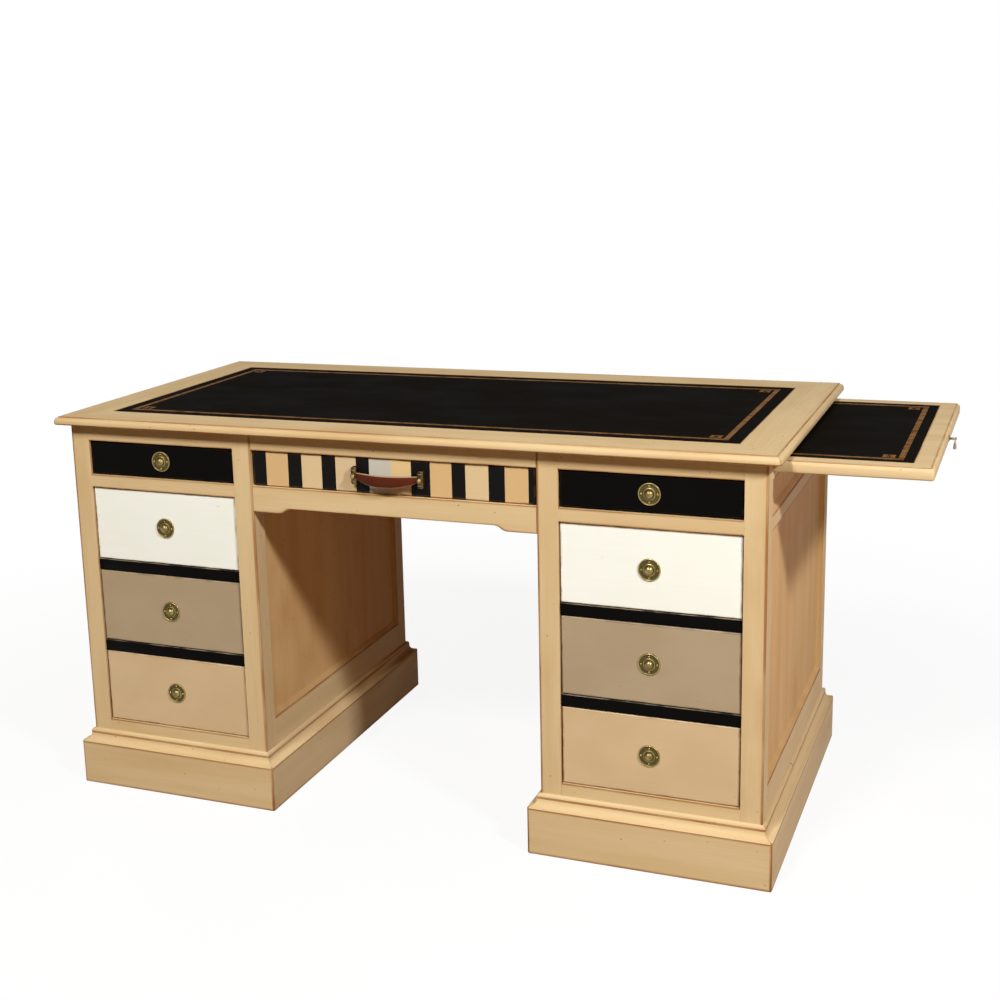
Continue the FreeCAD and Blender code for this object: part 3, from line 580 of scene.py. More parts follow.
class Shape:
    """One piece's mesh, gathered board by board with the grain and edge distances that its finish reads."""

    def __init__(self, name: str) -> None:
        """Starts an empty piece.

        Args:
            name: The piece's name, which also sets the chance in its grain.
        """
        self.name = name
        self.points: list[Vector] = []
        self.grain: list[Vector] = []
        self.faces: list[list[int]] = []
        self.near: list[Vector] = []
        self.far: list[Vector] = []
        self.curved: list[bool] = []
        self.draw = random.Random(name)

    def add_points(self, points: Iterable[Vector], along: Axis, shift: Vector) -> list[int]:
        """Adds points of one board.

        Args:
            points: Their places.
            along: The axis that its grain follows.
            shift: The board's own place in the pattern.

        Returns:
            Their numbers.
        """
        first = len(self.points)
        order = [along.value, (along.value + 1) % 3, (along.value + 2) % 3]
        for point in points:
            self.points.append(Vector(point))
            self.grain.append(Vector([point[axis] for axis in order]) + shift)
        return list(range(first, len(self.points)))

    def add_face(self, corners: Sequence[int], marks: Sequence[Mark], is_curved: bool = True) -> None:
        """Adds a face.

        Args:
            corners: Numbers of its points, anticlockwise as seen from outside.
            marks: Each corner's distances to edges round the face, and to the edges opposite those.
            is_curved: Whether it is part of a curve and so shaded smoothly.
        """
        self.faces.append(list(corners))
        self.near.extend(near for near, _ in marks)
        self.far.extend(far for _, far in marks)
        self.curved.append(is_curved)

    def add_plain(self, corners: Sequence[int], distance: float = BEYOND) -> None:
        """Adds a face that is the same distance from any edge all over."""
        mark = Vector((distance, distance, distance))
        self.add_face(corners, [(mark, mark)] * len(corners))

    def board_shift(self) -> Vector:
        """A chance place in the grain pattern for the next board."""
        return Vector([self.draw.uniform(0.0, 9.0) for _ in range(3)])

    def slab(
        self,
        low: Sequence[float],
        high: Sequence[float],
        axis: Axis,
        grain: Axis,
        rings: Sequence[Ring],
        radii: float | Sequence[float] = 0.6 * MM,
        steps: int = 2,
        glazed: Sequence[int] = CORNERS,
        stained: Sequence[int] = (),
        pale: Sequence[int] = (),
    ) -> None:
        """Adds a closed solid made of rounded rectangles, stacked along an axis.

        Args:
            low: Lowest corner of its box.
            high: Highest corner of its box.
            axis: The axis that it is stacked along.
            grain: The axis that its grain follows.
            rings: Inset from the box and height above its low side for each rectangle, in stacking order.
            radii: Corner radius of the outline, or one for each corner.
            steps: Faces round each corner.
            glazed: The corners of the outline whose edges hold glaze.
            stained: The sides of the outline that are brown all over, with glaze and painted shade; side 0
                runs from corner 0 to 1.
            pale: The levels that hold no glaze; level 0 lies between the first two rectangles.
        """
        a, b = (axis.value + 1) % 3, (axis.value + 2) % 3
        rounds = [radii] * len(CORNERS) if isinstance(radii, (int, float)) else list(radii)
        shift = self.board_shift()
        loops = [rounded_loop(low, high, axis, ring, rounds, steps) for ring in rings]
        numbers = [self.add_points(loop, grain, shift) for loop in loops]

        def from_edges(point: Vector, inset: float, inner: float) -> Mark:
            """A corner's distances to a flat face's outer edges, beside the given one to its inner edge."""
            near = Vector((point[a] - low[a] - inset, point[b] - low[b] - inset, inner))
            return near, Vector((high[a] - inset - point[a], high[b] - inset - point[b], BEYOND))

        for row, order, level in ((0, -1, 0), (-1, 1, len(rings) - 2)):
            inset = rings[row][0] - (BEYOND if level in pale else 0.0)
            marks = [from_edges(point, inset, BEYOND) for point in loops[row]]
            self.add_face(numbers[row][::order], marks[::order], False)
        for level, ((inset, height), (next_inset, next_height)) in enumerate(zip(rings, rings[1:])):
            reach = math.hypot(next_inset - inset, next_height - height)
            is_flat = abs(next_height - height) < NEARLY_NONE and reach > EDGE_WIDTH
            for index in range(len(loops[0])):
                corners = quad(numbers[level], numbers[level + 1], index)
                places = quad(loops[level], loops[level + 1], index)
                is_side = index % (steps + 1) == steps
                corner = index // (steps + 1)
                is_plain = not is_side and corner not in glazed
                if level in pale:
                    self.add_plain(corners)
                elif is_flat:
                    outer, deep = sorted((inset, next_inset))
                    inners = [deep - inset] * 2 + [deep - next_inset] * 2
                    marks = [from_edges(point, outer, inner) for point, inner in zip(places, inners)]
                    self.add_face(corners, marks, False)
                elif reach < EDGE_WIDTH:
                    self.add_plain(corners, BEYOND if is_plain else 0.0)
                # A side brown all over: glaze, and on a post's inner cheek also painted shade
                elif is_side and corner in stained:
                    self.add_plain(corners, STAIN_AND_SHADE_DEPTH)
                elif is_side:
                    run = (places[1] - places[0]).length
                    start = 0.0 if corner in glazed else BEYOND
                    end = 0.0 if (corner + 1) % len(CORNERS) in glazed else BEYOND
                    marks = [
                        (Vector((start + gone, up, BEYOND)), Vector((end + run - gone, reach - up, BEYOND)))
                        for gone, up in ((0.0, 0.0), (run, 0.0), (run, reach), (0.0, reach))
                    ]
                    self.add_face(corners, marks, False)
                else:
                    self.add_plain(corners, BEYOND if is_plain or max(rounds) > EDGE_WIDTH else 0.0)

    def board(
        self,
        low: Sequence[float],
        high: Sequence[float],
        grain: Axis,
        ease: float = 0.6 * MM,
        axis: Axis = Axis.Z,
        radii: float | Sequence[float] | None = None,
        glazed: Sequence[int] = CORNERS,
        stained: Sequence[int] = (),
        pale: Sequence[int] = (),
    ) -> None:
        """Adds a board with eased edges.

        Args:
            low: Its lowest corner.
            high: Its highest corner.
            grain: The axis that its grain follows.
            ease: How far its edges are rounded.
            axis: The axis that it is stacked along.
            radii: Radius of the edges along that axis, where it differs.
            glazed: The edges along that axis that hold glaze.
            stained: The sides along that axis that are brown all over, with glaze and painted shade.
            pale: The levels along that axis that hold no glaze; the sides are level 2.
        """
        tall = high[axis.value] - low[axis.value]
        bend = ease * EASE_BEND
        rounding = [(ease, 0.0), (bend, bend), (0.0, ease)]
        rings = rounding + [(inset, tall - height) for inset, height in reversed(rounding)]
        radii = ease if radii is None else radii
        self.slab(low, high, axis, grain, rings, radii, glazed=glazed, stained=stained, pale=pale)

    def moulding(
        self,
        start: Vector,
        along: Axis,
        sign: int,
        length: float,
        stretches: Sequence[tuple[Settle, Sequence[Point]]],
        turn: float,
    ) -> None:
        """Adds a moulded rail that is mitred at both ends.

        Args:
            start: The outer lower corner where it starts.
            along: The axis that it runs along, X or Y.
            sign: Which way it runs.
            length: Its longer, outer length.
            stretches: Its section as places inward from the outer edge and up, anticlockwise as seen
                from its far end, with how the glaze settles on each stretch.
            turn: Radius of the upright edge at each mitre.
        """
        run = Vector((0.0, 0.0, 0.0))
        run[along.value] = sign
        up = Vector((0.0, 0.0, 1.0))
        inward = up.cross(run)
        shift = self.board_shift()
        section = [point for _, points in stretches for point in points[:-1]]
        rows: list[list[int]] = []
        passed: list[tuple[float, float]] = []
        for is_end in (False, True):
            fixed: dict[int, int] = {}
            for share in (1.0, 0.5, 0.0) if is_end else (0.0, 0.5, 1.0):
                angle = math.radians(45) * (1 - share)
                row = []
                for number, (y, z) in enumerate(section):
                    bend, level = max(turn - y, 0.0), max(turn, y)
                    ahead = level - bend * math.sin(angle)
                    place = start + run * (length - ahead if is_end else ahead) + up * z
                    place += inward * (level - bend * math.cos(angle))
                    if number not in fixed:
                        row.append(self.add_points([place], along, shift)[0])
                    else:
                        row.append(fixed[number])
                    if bend == 0.0:
                        fixed[number] = row[-1]
                rows.append(row)
                gone = share * turn * math.pi / 4
                passed.append((length, gone) if is_end else (gone, length))
        self.add_plain(rows[0][::-1], 0.0)
        self.add_plain(rows[-1], 0.0)
        straight = len(rows) // 2 - 1
        for here in range(len(rows) - 1):
            number = 0
            for settle, points in stretches:
                reached = [0.0]
                for first, second in zip(points, points[1:]):
                    reached.append(reached[-1] + math.dist(first, second))
                is_curved = len(points) > 2 or here != straight
                for step in range(len(points) - 1):
                    after = (number + 1) % len(section)
                    places = (here, number, 0), (here, after, 1), (here + 1, after, 1), (here + 1, number, 0)
                    corners = [(rows[row][spot], reached[step + on], passed[row]) for row, spot, on in places]
                    self.moulding_face(corners, settle, reached[-1], is_curved)
                    number = after

    def moulding_face(
        self,
        corners: Sequence[tuple[int, float, tuple[float, float]]],
        settle: Settle,
        wide: float,
        is_curved: bool,
    ) -> None:
        """Adds a face of a moulding, unless its corners fall together.

        Args:
            corners: Each corner's number, how far across its stretch it lies and how far from both mitres.
            settle: How the glaze settles on the stretch.
            wide: The stretch's width.
            is_curved: Whether the face is part of a curve.
        """
        kept = [corner for index, corner in enumerate(corners) if corner[0] != corners[index - 1][0]]
        if len(kept) < 3:
            return
        numbers = [number for number, _, _ in kept]
        if settle in (Settle.ALL_OVER, Settle.THINLY):
            self.add_plain(numbers, 0.0 if settle is Settle.ALL_OVER else THIN_STAIN_DEPTH)
            return
        marks = []
        for _, across, (gone, left) in kept:
            low, high = (BEYOND, BEYOND) if settle is Settle.NOWHERE else (across, wide - across)
            marks.append((Vector((gone, low, BEYOND)), Vector((left, high, BEYOND))))
        self.add_face(numbers, marks, is_curved)

    def cut_board(
        self, outline: Sequence[Point], low_y: float, high_y: float, ease: float = 0.8 * MM
    ) -> None:
        """Adds an upright board across the desk with a shaped outline.

        Args:
            outline: Its corners as X and Z, anticlockwise as seen from the front.
            low_y: Its front.
            high_y: Its back.
            ease: How far its edges are rounded.
        """
        shift = self.board_shift()
        count = len(outline)
        sharpest = 0.3  # keeps the inset bounded at a sharp corner
        inner = []
        for index, (x, z) in enumerate(outline):
            before = Vector(outline[index - 1])
            after = Vector(outline[(index + 1) % count])
            here = Vector((x, z))
            one, two = (here - before).normalized(), (after - here).normalized()
            normal = Vector((-one.y - two.y, one.x + two.x)).normalized()
            scale = ease / max(normal.dot(Vector((-one.y, one.x))), sharpest)
            inner.append(here + normal * scale)
        rows = [(inner, low_y), (outline, low_y + ease), (outline, high_y - ease), (inner, high_y)]
        numbers = [
            self.add_points([Vector((point[0], y, point[1])) for point in points], Axis.X, shift)
            for points, y in rows
        ]
        low_z, high_z = min(z for _, z in outline), max(z for _, z in outline)
        marks = []
        for _, z in outline:
            up = 0.0 if z < high_z - NEARLY_NONE else high_z - low_z
            marks.append((Vector((BEYOND, up, BEYOND)), Vector((BEYOND, high_z - z, BEYOND))))
        for row, order in ((0, 1), (-1, -1)):
            self.add_face(numbers[row][::order], marks[::order], False)
        for first, second, distance in zip(numbers, numbers[1:], (0.0, EDGE_WIDTH, 0.0)):
            for index in range(count):
                after = (index + 1) % count
                self.add_plain([first[index], second[index], second[after], first[after]], distance)

    def lathe(self, section: Sequence[Point], steps: int, place: Matrix) -> None:
        """Adds a turned solid.

        Args:
            section: Radius and height of each point, from the foot to the tip, where the radius is 0.
            steps: Faces round the axis.
            place: Puts the solid, which stands along +Z, where it belongs.
        """
        shift = self.board_shift()
        turns = [2 * math.pi * step / steps for step in range(steps)]
        rings = []
        for radius, height in section:
            spots = [
                place @ Vector((radius * math.cos(turn), radius * math.sin(turn), height))
                for turn in (turns if radius > 0.0 else turns[:1])
            ]
            rings.append(self.add_points(spots, Axis.X, shift))
        for low, high in zip(rings, rings[1:]):
            for step in range(steps):
                after = (step + 1) % steps
                if len(low) == 1:
                    self.add_plain([low[0], high[after], high[step]])
                elif len(high) == 1:
                    self.add_plain([low[step], low[after], high[0]])
                else:
                    self.add_plain(quad(low, high, step))

    def prism(self, outline: Sequence[Vector], thick: float) -> None:
        """Adds a thin flat ornament.

        Args:
            outline: Its lower corners, anticlockwise as seen from above.
            thick: Its thickness.
        """
        shift = Vector((0.0, 0.0, 0.0))
        low = self.add_points(outline, Axis.X, shift)
        high = self.add_points([point + Vector((0.0, 0.0, thick)) for point in outline], Axis.X, shift)
        self.add_plain(low[::-1])
        self.add_plain(high)
        for index in range(len(low)):
            self.add_plain(quad(low, high, index))

    def piece(
        self, finish: Finish, node: str, takes_place: bool = True, sharp_deg: float = 50.0
    ) -> bpy.types.Object:
        """Turns what was gathered into a piece that rides where its CAD node does.

        Args:
            finish: Its finish.
            node: The CAD node that it belongs to.
            takes_place: Whether it is shown in place of the node.
            sharp_deg: Angle above which an edge stays sharp.

        Returns:
            The piece.
        """
        mesh = bpy.data.meshes.new(self.name)
        mesh.from_pydata(self.points, [], self.faces)
        for name, values, domain in (
            ("grain", self.grain, "POINT"),
            ("edge_near", self.near, "CORNER"),
            ("edge_far", self.far, "CORNER"),
        ):
            flat = [part for value in values for part in value]
            mesh.attributes.new(name, "FLOAT_VECTOR", domain).data.foreach_set("vector", flat)
        # Marking sharp edges by angle smooths every face, so the flat ones are set after it.
        mesh.set_sharp_from_angle(angle=math.radians(sharp_deg))
        mesh.polygons.foreach_set("use_smooth", self.curved)
        mesh.materials.append(bpy.data.materials.get(finish.name) or finish.material())
        made = bpy.data.objects.new(self.name, mesh)
        bpy.context.scene.collection.objects.link(made)
        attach(made, BODY_OF[node])
        if takes_place:
            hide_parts(node)
        LOG.info("%s rides on %s", made.name, BODY_OF[node])
        return made


# Sub-assemblies


@dataclass
class Tooling:
    """A gilt border and corner ornaments on a leather panel."""

    edge_gap: float
    band: float = 9.6 * MM
    line: float = 1.6 * MM
    pitch: float = 10 * MM
    lozenge: float = 3.84 * MM  # half a lozenge's width
    thick: float = 0.06 * MM
    ornament_gap: float = 16.32 * MM  # from the band's inner edges to an ornament's middle
    # Where a petal and a bud start, are widest and end, and half their width, in mm from an ornament's middle
    petal: tuple[float, float, float, float] = (3.36, 8.64, 15.6, 5.04)
    bud: tuple[float, float, float, float] = (4.2, 7.92, 11.76, 2.4)

    def build(self, name: str, node: str, low: Vector, high: Vector) -> None:
        """Builds the border's worn ground, its lines and lozenges and the corner ornaments.

        Args:
            name: The name of the border.
            node: The leather's CAD node.
            low: Lowest corner of the leather.
            high: Highest corner of the leather, on its upper face.
        """
        ground = Shape(f"{name}_ground")
        self.frame_lines(ground, low, high, self.edge_gap, self.band, self.thick / 2)
        ground.piece(GILT_GROUND, node, takes_place=False)
        shape = Shape(name)
        for inset in (self.edge_gap, self.edge_gap + self.band - self.line):
            self.frame_lines(shape, low, high, inset, self.line, self.thick)
        middle = self.edge_gap + self.band / 2
        x_low, x_high, y_low, y_high = low.x + middle, high.x - middle, low.y + middle, high.y - middle
        for y in (y_low, y_high):
            self.chain(shape, Vector((x_low, y, high.z)), Vector((x_high, y, high.z)))
        for x in (x_low, x_high):
            self.chain(shape, Vector((x, y_low, high.z)), Vector((x, y_high, high.z)))
        step = self.band / 2 + self.ornament_gap
        for x in (x_low + step, x_high - step):
            for y in (y_low + step, y_high - step):
                self.fleuron(shape, Vector((x, y, high.z)))
        shape.piece(GILT, node, takes_place=False)

    def frame_lines(
        self, shape: Shape, low: Vector, high: Vector, inset: float, wide: float, thick: float
    ) -> None:
        """Adds four bands of foil round a panel.

        Args:
            shape: The piece that they go into.
            low: Lowest corner of the panel.
            high: Highest corner of the panel.
            inset: Their distance from its edges.
            wide: Their width.
            thick: Their thickness.
        """
        x0, x1, y0, y1 = low.x + inset, high.x - inset, low.y + inset, high.y - inset
        for left, right, front, back in (
            (x0, x1, y0, y0 + wide),
            (x0, x1, y1 - wide, y1),
            (x0, x0 + wide, y0 + wide, y1 - wide),
            (x1 - wide, x1, y0 + wide, y1 - wide),
        ):
            corners = [(left, front), (right, front), (right, back), (left, back)]
            shape.prism([Vector((x, y, high.z)) for x, y in corners], thick)

    def chain(self, shape: Shape, start: Vector, end: Vector) -> None:
        """Adds a run of lozenges that touch at their points.

        Args:
            shape: The piece that they go into.
            start: Where the run starts.
            end: Where it ends.
        """
        way = end - start
        count = max(2, round(way.length / self.pitch))
        for number in range(count):
            middle = start + way * ((number + 0.5) / count)
            sizes = (-self.pitch / 2, 0.0, self.pitch / 2, self.lozenge)
            self.kite(shape, middle, way.normalized(), sizes)

    def fleuron(self, shape: Shape, centre: Vector) -> None:
        """Adds an ornament of four petals with buds between them.

        Args:
            shape: The piece that it goes into.
            centre: Its middle.
        """
        for number in range(8):
            angle = math.radians(45 + 45 * number)
            out = Vector((math.cos(angle), math.sin(angle), 0.0))
            sizes = self.bud if number % 2 else self.petal
            self.kite(shape, centre, out, [size * MM for size in sizes])

    def kite(self, shape: Shape, centre: Vector, out: Vector, sizes: Sequence[float]) -> None:
        """Adds a mark with four corners, pointed at both ends.

        Args:
            shape: The piece that it goes into.
            centre: The place that it is measured from.
            out: The direction that it points.
            sizes: How far out it starts, is widest and ends, and half its width.
        """
        start, widest, end, wide = sizes
        waist = centre + out * widest
        aside = Vector((-out.y, out.x, 0.0)) * wide
        shape.prism([centre + out * start, waist - aside, centre + out * end, waist + aside], self.thick)


@dataclass
class Leather:
    """A flat leather panel with softly turned edges and a gilt border."""

    node: str
    under: str
    border_gap: float
    side_gap: float = 0.1 * MM
    turned: float = 0.5 * MM
    shoulder: Ring = (0.25 * MM, 0.15 * MM)  # inward from the box and down from the upper face
    corner: float = 0.4 * MM

    def build(self) -> None:
        """Builds and dresses the hide and its border."""
        low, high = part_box(self.node)
        thick = high.z - low.z
        rings = [(self.side_gap, 0.0), (self.side_gap, thick - self.turned)]
        rings += [(self.shoulder[0], thick - self.shoulder[1]), (self.turned, thick)]
        shape = Shape(f"{self.node}_hide")
        shape.slab(low, high, Axis.Z, Axis.X, rings, self.corner)
        made = shape.piece(BLACK_HIDE, self.node)
        Tooling(self.border_gap).build(f"{self.node}_gilt", self.node, low, high)


@dataclass
class Top:
    """The moulded top frame, its board and its leather."""

    nose: float = 8.5 * MM
    quirk: float = 2 * MM
    under: float = 3 * MM
    lip: float = 0.5 * MM
    corner: float = 8 * MM
    border_gap: float = 25 * MM

    def build(self) -> None:
        """Builds and dresses every piece of the top."""
        low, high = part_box("top_front_rail")
        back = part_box("top_back_rail")[1].y
        across, along = high.x - low.x, back - low.y
        section = self.section(high.y - low.y, high.z - low.z)
        for word, x, y, axis, sign, length in (
            ("front", low.x, low.y, Axis.X, 1, across),
            ("right", high.x, low.y, Axis.Y, 1, along),
            ("back", high.x, back, Axis.X, -1, across),
            ("left", low.x, back, Axis.Y, -1, along),
        ):
            rail = Shape(f"top_{word}_rail_moulded")
            rail.moulding(Vector((x, y, low.z)), axis, sign, length, section, self.corner)
            rail.piece(WOOD, f"top_{word}_rail")
        board = Shape("top_panel_board")
        board.board(*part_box("top_panel"), Axis.X)
        board.piece(BARE_WOOD, "top_panel")
        Leather("top_leather", "top_panel_board", self.border_gap).build()

    def section(self, width: float, thick: float) -> list[tuple[Settle, list[Point]]]:
        """The section of the frame's rails, with a rounded nose under a small step.

        Args:
            width: Their width.
            thick: Their thickness.

        Returns:
            Its stretches, from under the nose inward and round.
        """
        nose, under, lip = self.nose, self.under, self.lip
        face = thick - self.quirk
        return [
            (Settle.EDGES, [(under, 0.0), (width, 0.0)]),
            (Settle.EDGES, [(width, 0.0), (width, thick - lip)]),
            (Settle.ALL_OVER, [(width, thick - lip), (width - lip, thick)]),
            (Settle.EDGES, [(width - lip, thick), (nose + lip, thick)]),
            (Settle.THINLY, [(nose + lip, thick), (nose, thick - lip), (nose, face)]),
            (Settle.NOWHERE, arc((nose, face - nose), nose, 90, 180, 8)),
            (Settle.NOWHERE, [(0.0, face - nose), (0.0, under)]),
            (Settle.ALL_OVER, arc((under, under), under, 180, 270, 5)),
        ]


@dataclass
class Carcase:
    """Posts, rails, panels, aprons, runners and plinths of the desk."""

    post: float = 40 * MM
    post_edge: float = 2.5 * MM
    rail: float = 22 * MM
    joint_ease: float = 0.5 * MM
    divider_ease: float = 1.2 * MM
    panel_lip: float = 2 * MM
    panel_slope: float = 9 * MM
    panel_depth: float = 8 * MM
    panel_corner: float = 0.3 * MM
    field_edge: Ring = (1.2 * MM, 0.3 * MM)  # outward and up from the edge of a panel's field
    plinth: float = 21 * MM
    plinth_high: float = 92 * MM
    plinth_ease: float = 2 * MM
    plinth_corner: float = 4 * MM
    plinth_toe: float = 1 * MM
    bead: float = 6 * MM
    apron_foot: float = 55 * MM
    apron_run: float = 28 * MM
    apron_rise: float = 10 * MM
    bearing: float = 14 * MM
    runner_high: float = 18 * MM
    guide: float = 24 * MM

    def build(self) -> None:
        """Builds and dresses every fixed piece under the top."""
        for side in Side:
            self.build_posts(side)
            self.build_sides(side)
            self.build_plinth(side)
        self.build_front()
        self.build_back()
        self.build_aprons()
        self.build_runners()
        self.build_guides()

    @property
    def knee(self) -> float:
        """Half the kneehole's width."""
        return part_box("front_apron")[1].x

    @property
    def near(self) -> float:
        """X of the far side of a post beside the kneehole."""
        return self.knee + self.post

    @property
    def mid_top(self) -> float:
        """Height of the rails under the frieze drawers."""
        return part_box("front_apron")[1].z

    @property
    def mid_bottom(self) -> float:
        """Height of those rails' underside."""
        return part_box("back_panels")[1].z

    def bays(self, node: str) -> list[tuple[Vector, Vector]]:
        """The two spans between the posts of a pedestal's front or back.

        Args:
            node: The CAD node that fills both.

        Returns:
            The lowest and the highest corner of each.
        """
        low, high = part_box(node)
        left, right = Vector((-self.near, high.y, high.z)), Vector((self.near, low.y, low.z))
        return [(low, left), (right, high)]

    def add_rail(self, shape: Shape, span: tuple[Vector, Vector], bottom: float, top: float) -> None:
        """Adds a rail across the desk, with no glaze on its ends.

        Args:
            shape: The piece that it goes into.
            span: Corners of a box that gives its ends, front and back.
            bottom: Its underside.
            top: Its upper side.
        """
        low, high = span
        shape.board((low.x, low.y, bottom), (high.x, high.y, top), Axis.X, self.joint_ease, glazed=())

    def build_posts(self, side: Side) -> None:
        """Builds the four posts of a pedestal, with the outer corner of each rounded.

        Args:
            side: Which pedestal.
        """
        node = f"{side.word}_posts"
        low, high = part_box(node)
        shape = Shape(f"{node}_planed")
        for x, is_right in ((low.x, False), (high.x - self.post, True)):
            for y, is_back in ((low.y, False), (high.y - self.post, True)):
                # Corners count round from the front left one, and sides from the front one.
                exposed = (3 if is_back else 0) if not is_right else (2 if is_back else 1)
                radii = [self.post_edge if number == exposed else self.joint_ease for number in CORNERS]
                corners = (x, y, low.z), (x + self.post, y + self.post, high.z)
                # The side facing into the pedestal is brown all over: glaze, and painted shade for the recess
                # of the drawer openings.
                shaded_cheek = 3 if is_right else 1
                shape.board(*corners, Axis.Z, self.joint_ease, Axis.Z, radii, [exposed], [shaded_cheek])
        shape.piece(WOOD, node)

    def build_sides(self, side: Side) -> None:
        """Builds the rails and sunk panels of a pedestal's two long sides.

        Args:
            side: Which pedestal.
        """
        low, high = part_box(f"{side.word}_side_rails")
        panel_low, panel_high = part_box(f"{side.word}_side_panels")
        inner, outer, inner_face, outer_face = low.x, high.x, panel_low.x, panel_high.x
        if side is Side.LEFT:
            inner, outer, inner_face, outer_face = outer, inner, outer_face, inner_face
        guide_low, guide_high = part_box("leaf_guides")
        rails = Shape(f"{side.word}_side_rails_planed")
        for face, inward, bottom, top in (
            (outer, -side.value, guide_low.z, guide_high.z),
            (outer, -side.value, self.mid_bottom, self.mid_top),
            (outer, -side.value, low.z, panel_low.z),
            (inner, side.value, self.mid_bottom, guide_high.z),
            (inner, side.value, low.z, panel_low.z),
        ):
            x0, x1 = sorted((face, face + inward * self.rail))
            rails.board((x0, low.y, bottom), (x1, high.y, top), Axis.Y, self.joint_ease, glazed=())
        rails.piece(WOOD, f"{side.word}_side_rails")
        panels = Shape(f"{side.word}_side_panels_fielded")
        thick = self.rail - abs(abs(outer) - abs(outer_face))
        for face, outward, bottom, top in (
            (outer_face, side.value, panel_low.z, self.mid_bottom),
            (outer_face, side.value, self.mid_top, panel_high.z),
            (inner_face, -side.value, panel_low.z, self.mid_bottom),
        ):
            x0, x1 = sorted((face, face - outward * thick))
            self.sunk_panel(panels, (x0, panel_low.y, bottom), (x1, panel_high.y, top), Axis.X, outward)
        panels.piece(PANEL_WOOD, f"{side.word}_side_panels")

    def sunk_panel(
        self, shape: Shape, low: Sequence[float], high: Sequence[float], axis: Axis, outward: int
    ) -> None:
        """Adds an upright panel whose field lies below a sloping border.

        Args:
            shape: The piece that it goes into.
            low: Lowest corner.
            high: Highest corner.
            axis: The axis across the panel.
            outward: Sign of the direction that its face looks.
        """
        thick = high[axis.value] - low[axis.value]
        field = self.panel_lip + self.panel_slope
        rings = [
            (field, self.panel_depth),
            (field - self.field_edge[0], self.panel_depth - self.field_edge[1]),
            (self.panel_lip, 0.0),
            (0.0, 0.0),
            (0.0, thick),
        ]
        if outward > 0:
            rings = [(inset, thick - height) for inset, height in reversed(rings)]
        # The field and its slope hold no glaze.
        pale = (2, 3) if outward > 0 else (0, 1)
        shape.slab(low, high, axis, Axis.Z, rings, self.panel_corner, steps=1, pale=pale)

    def build_plinth(self, side: Side) -> None:
        """Builds the four plinth boards of a pedestal, with a cove and a bead along their top.

        Args:
            side: Which pedestal.
        """
        node = f"{side.word}_plinth"
        low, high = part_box(node)
        deep, toe, ease, face = self.plinth, self.plinth_toe, self.plinth_ease, self.plinth_high
        bead_y, bead_z = deep - self.bead, high.z - self.bead
        cove = bead_y - ease
        section = [
            (Settle.EDGES, [(toe, 0.0), (deep, 0.0)]),
            (Settle.EDGES, [(deep, 0.0), (deep, high.z)]),
            (Settle.NOWHERE, arc((deep, bead_z), self.bead, 90, 180, 5)),
            (Settle.EDGES, [(bead_y, bead_z), (bead_y, face + cove)]),
            (Settle.NOWHERE, arc((ease, face + cove), cove, 0, -90, 7)),
            (Settle.NOWHERE, arc((ease, face - ease), ease, 90, 180, 3)),
            (Settle.EDGES, [(0.0, face - ease), (0.0, toe)]),
            (Settle.ALL_OVER, [(0.0, toe), (toe, 0.0)]),
        ]
        shape = Shape(f"{node}_moulded")
        across, along = high.x - low.x, high.y - low.y
        for x, y, axis, sign, length in (
            (low.x, low.y, Axis.X, 1, across),
            (high.x, low.y, Axis.Y, 1, along),
            (high.x, high.y, Axis.X, -1, across),
            (low.x, high.y, Axis.Y, -1, along),
        ):
            shape.moulding(Vector((x, y, low.z)), axis, sign, length, section, self.plinth_corner)
        shape.piece(PLINTH_WOOD, node)

    def build_front(self) -> None:
        """Builds the rails of the front and the black dividers."""
        left, right = self.bays("front_top_rails")
        middle = Vector((-self.knee, *left[0][1:])), Vector((self.knee, *right[1][1:]))
        shape = Shape("front_top_rails_planed")
        for span in (left, middle, right):
            self.add_rail(shape, span, span[0].z, span[1].z)
        shape.piece(WOOD, "front_top_rails")
        lower_low, lower_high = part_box("left_lower_drawer_front")
        shape = Shape("front_rails_planed")
        for span in self.bays("front_rails"):
            self.add_rail(shape, span, span[0].z, lower_low.z - DRAWER_GAP)
            self.add_rail(shape, span, self.mid_bottom, span[1].z)
        shape.piece(WOOD, "front_rails")
        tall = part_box("left_middle_drawer_front")[0].z - lower_high.z - 2 * DRAWER_GAP
        shape = Shape("divider_rails_lacquered")
        for low, high in self.bays("divider_rails"):
            for bottom in (low.z, high.z - tall):
                corners = (low.x, low.y, bottom), (high.x, high.y, bottom + tall)
                # The upper edges alone carry the pale line, a painted highlight.
                shape.board(*corners, Axis.X, self.divider_ease, glazed=(), pale=(0, 1, 2))
        shape.piece(BLACK_WITH_PAINTED_HIGHLIGHT, "divider_rails")

    def build_back(self) -> None:
        """Builds the rails and sunk panels of the pedestals' backs."""
        panel_low, panel_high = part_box("back_panels")
        rails = Shape("back_rails_planed")
        panels = Shape("back_panels_fielded")
        for low, high in self.bays("back_rails"):
            self.add_rail(rails, (low, high), low.z, panel_low.z)
            self.add_rail(rails, (low, high), panel_high.z, high.z)
            corners = (low.x, panel_low.y, panel_low.z), (high.x, panel_high.y, panel_high.z)
            self.sunk_panel(panels, *corners, Axis.Y, 1)
        rails.piece(WOOD, "back_rails")
        panels.piece(PANEL_WOOD, "back_panels")

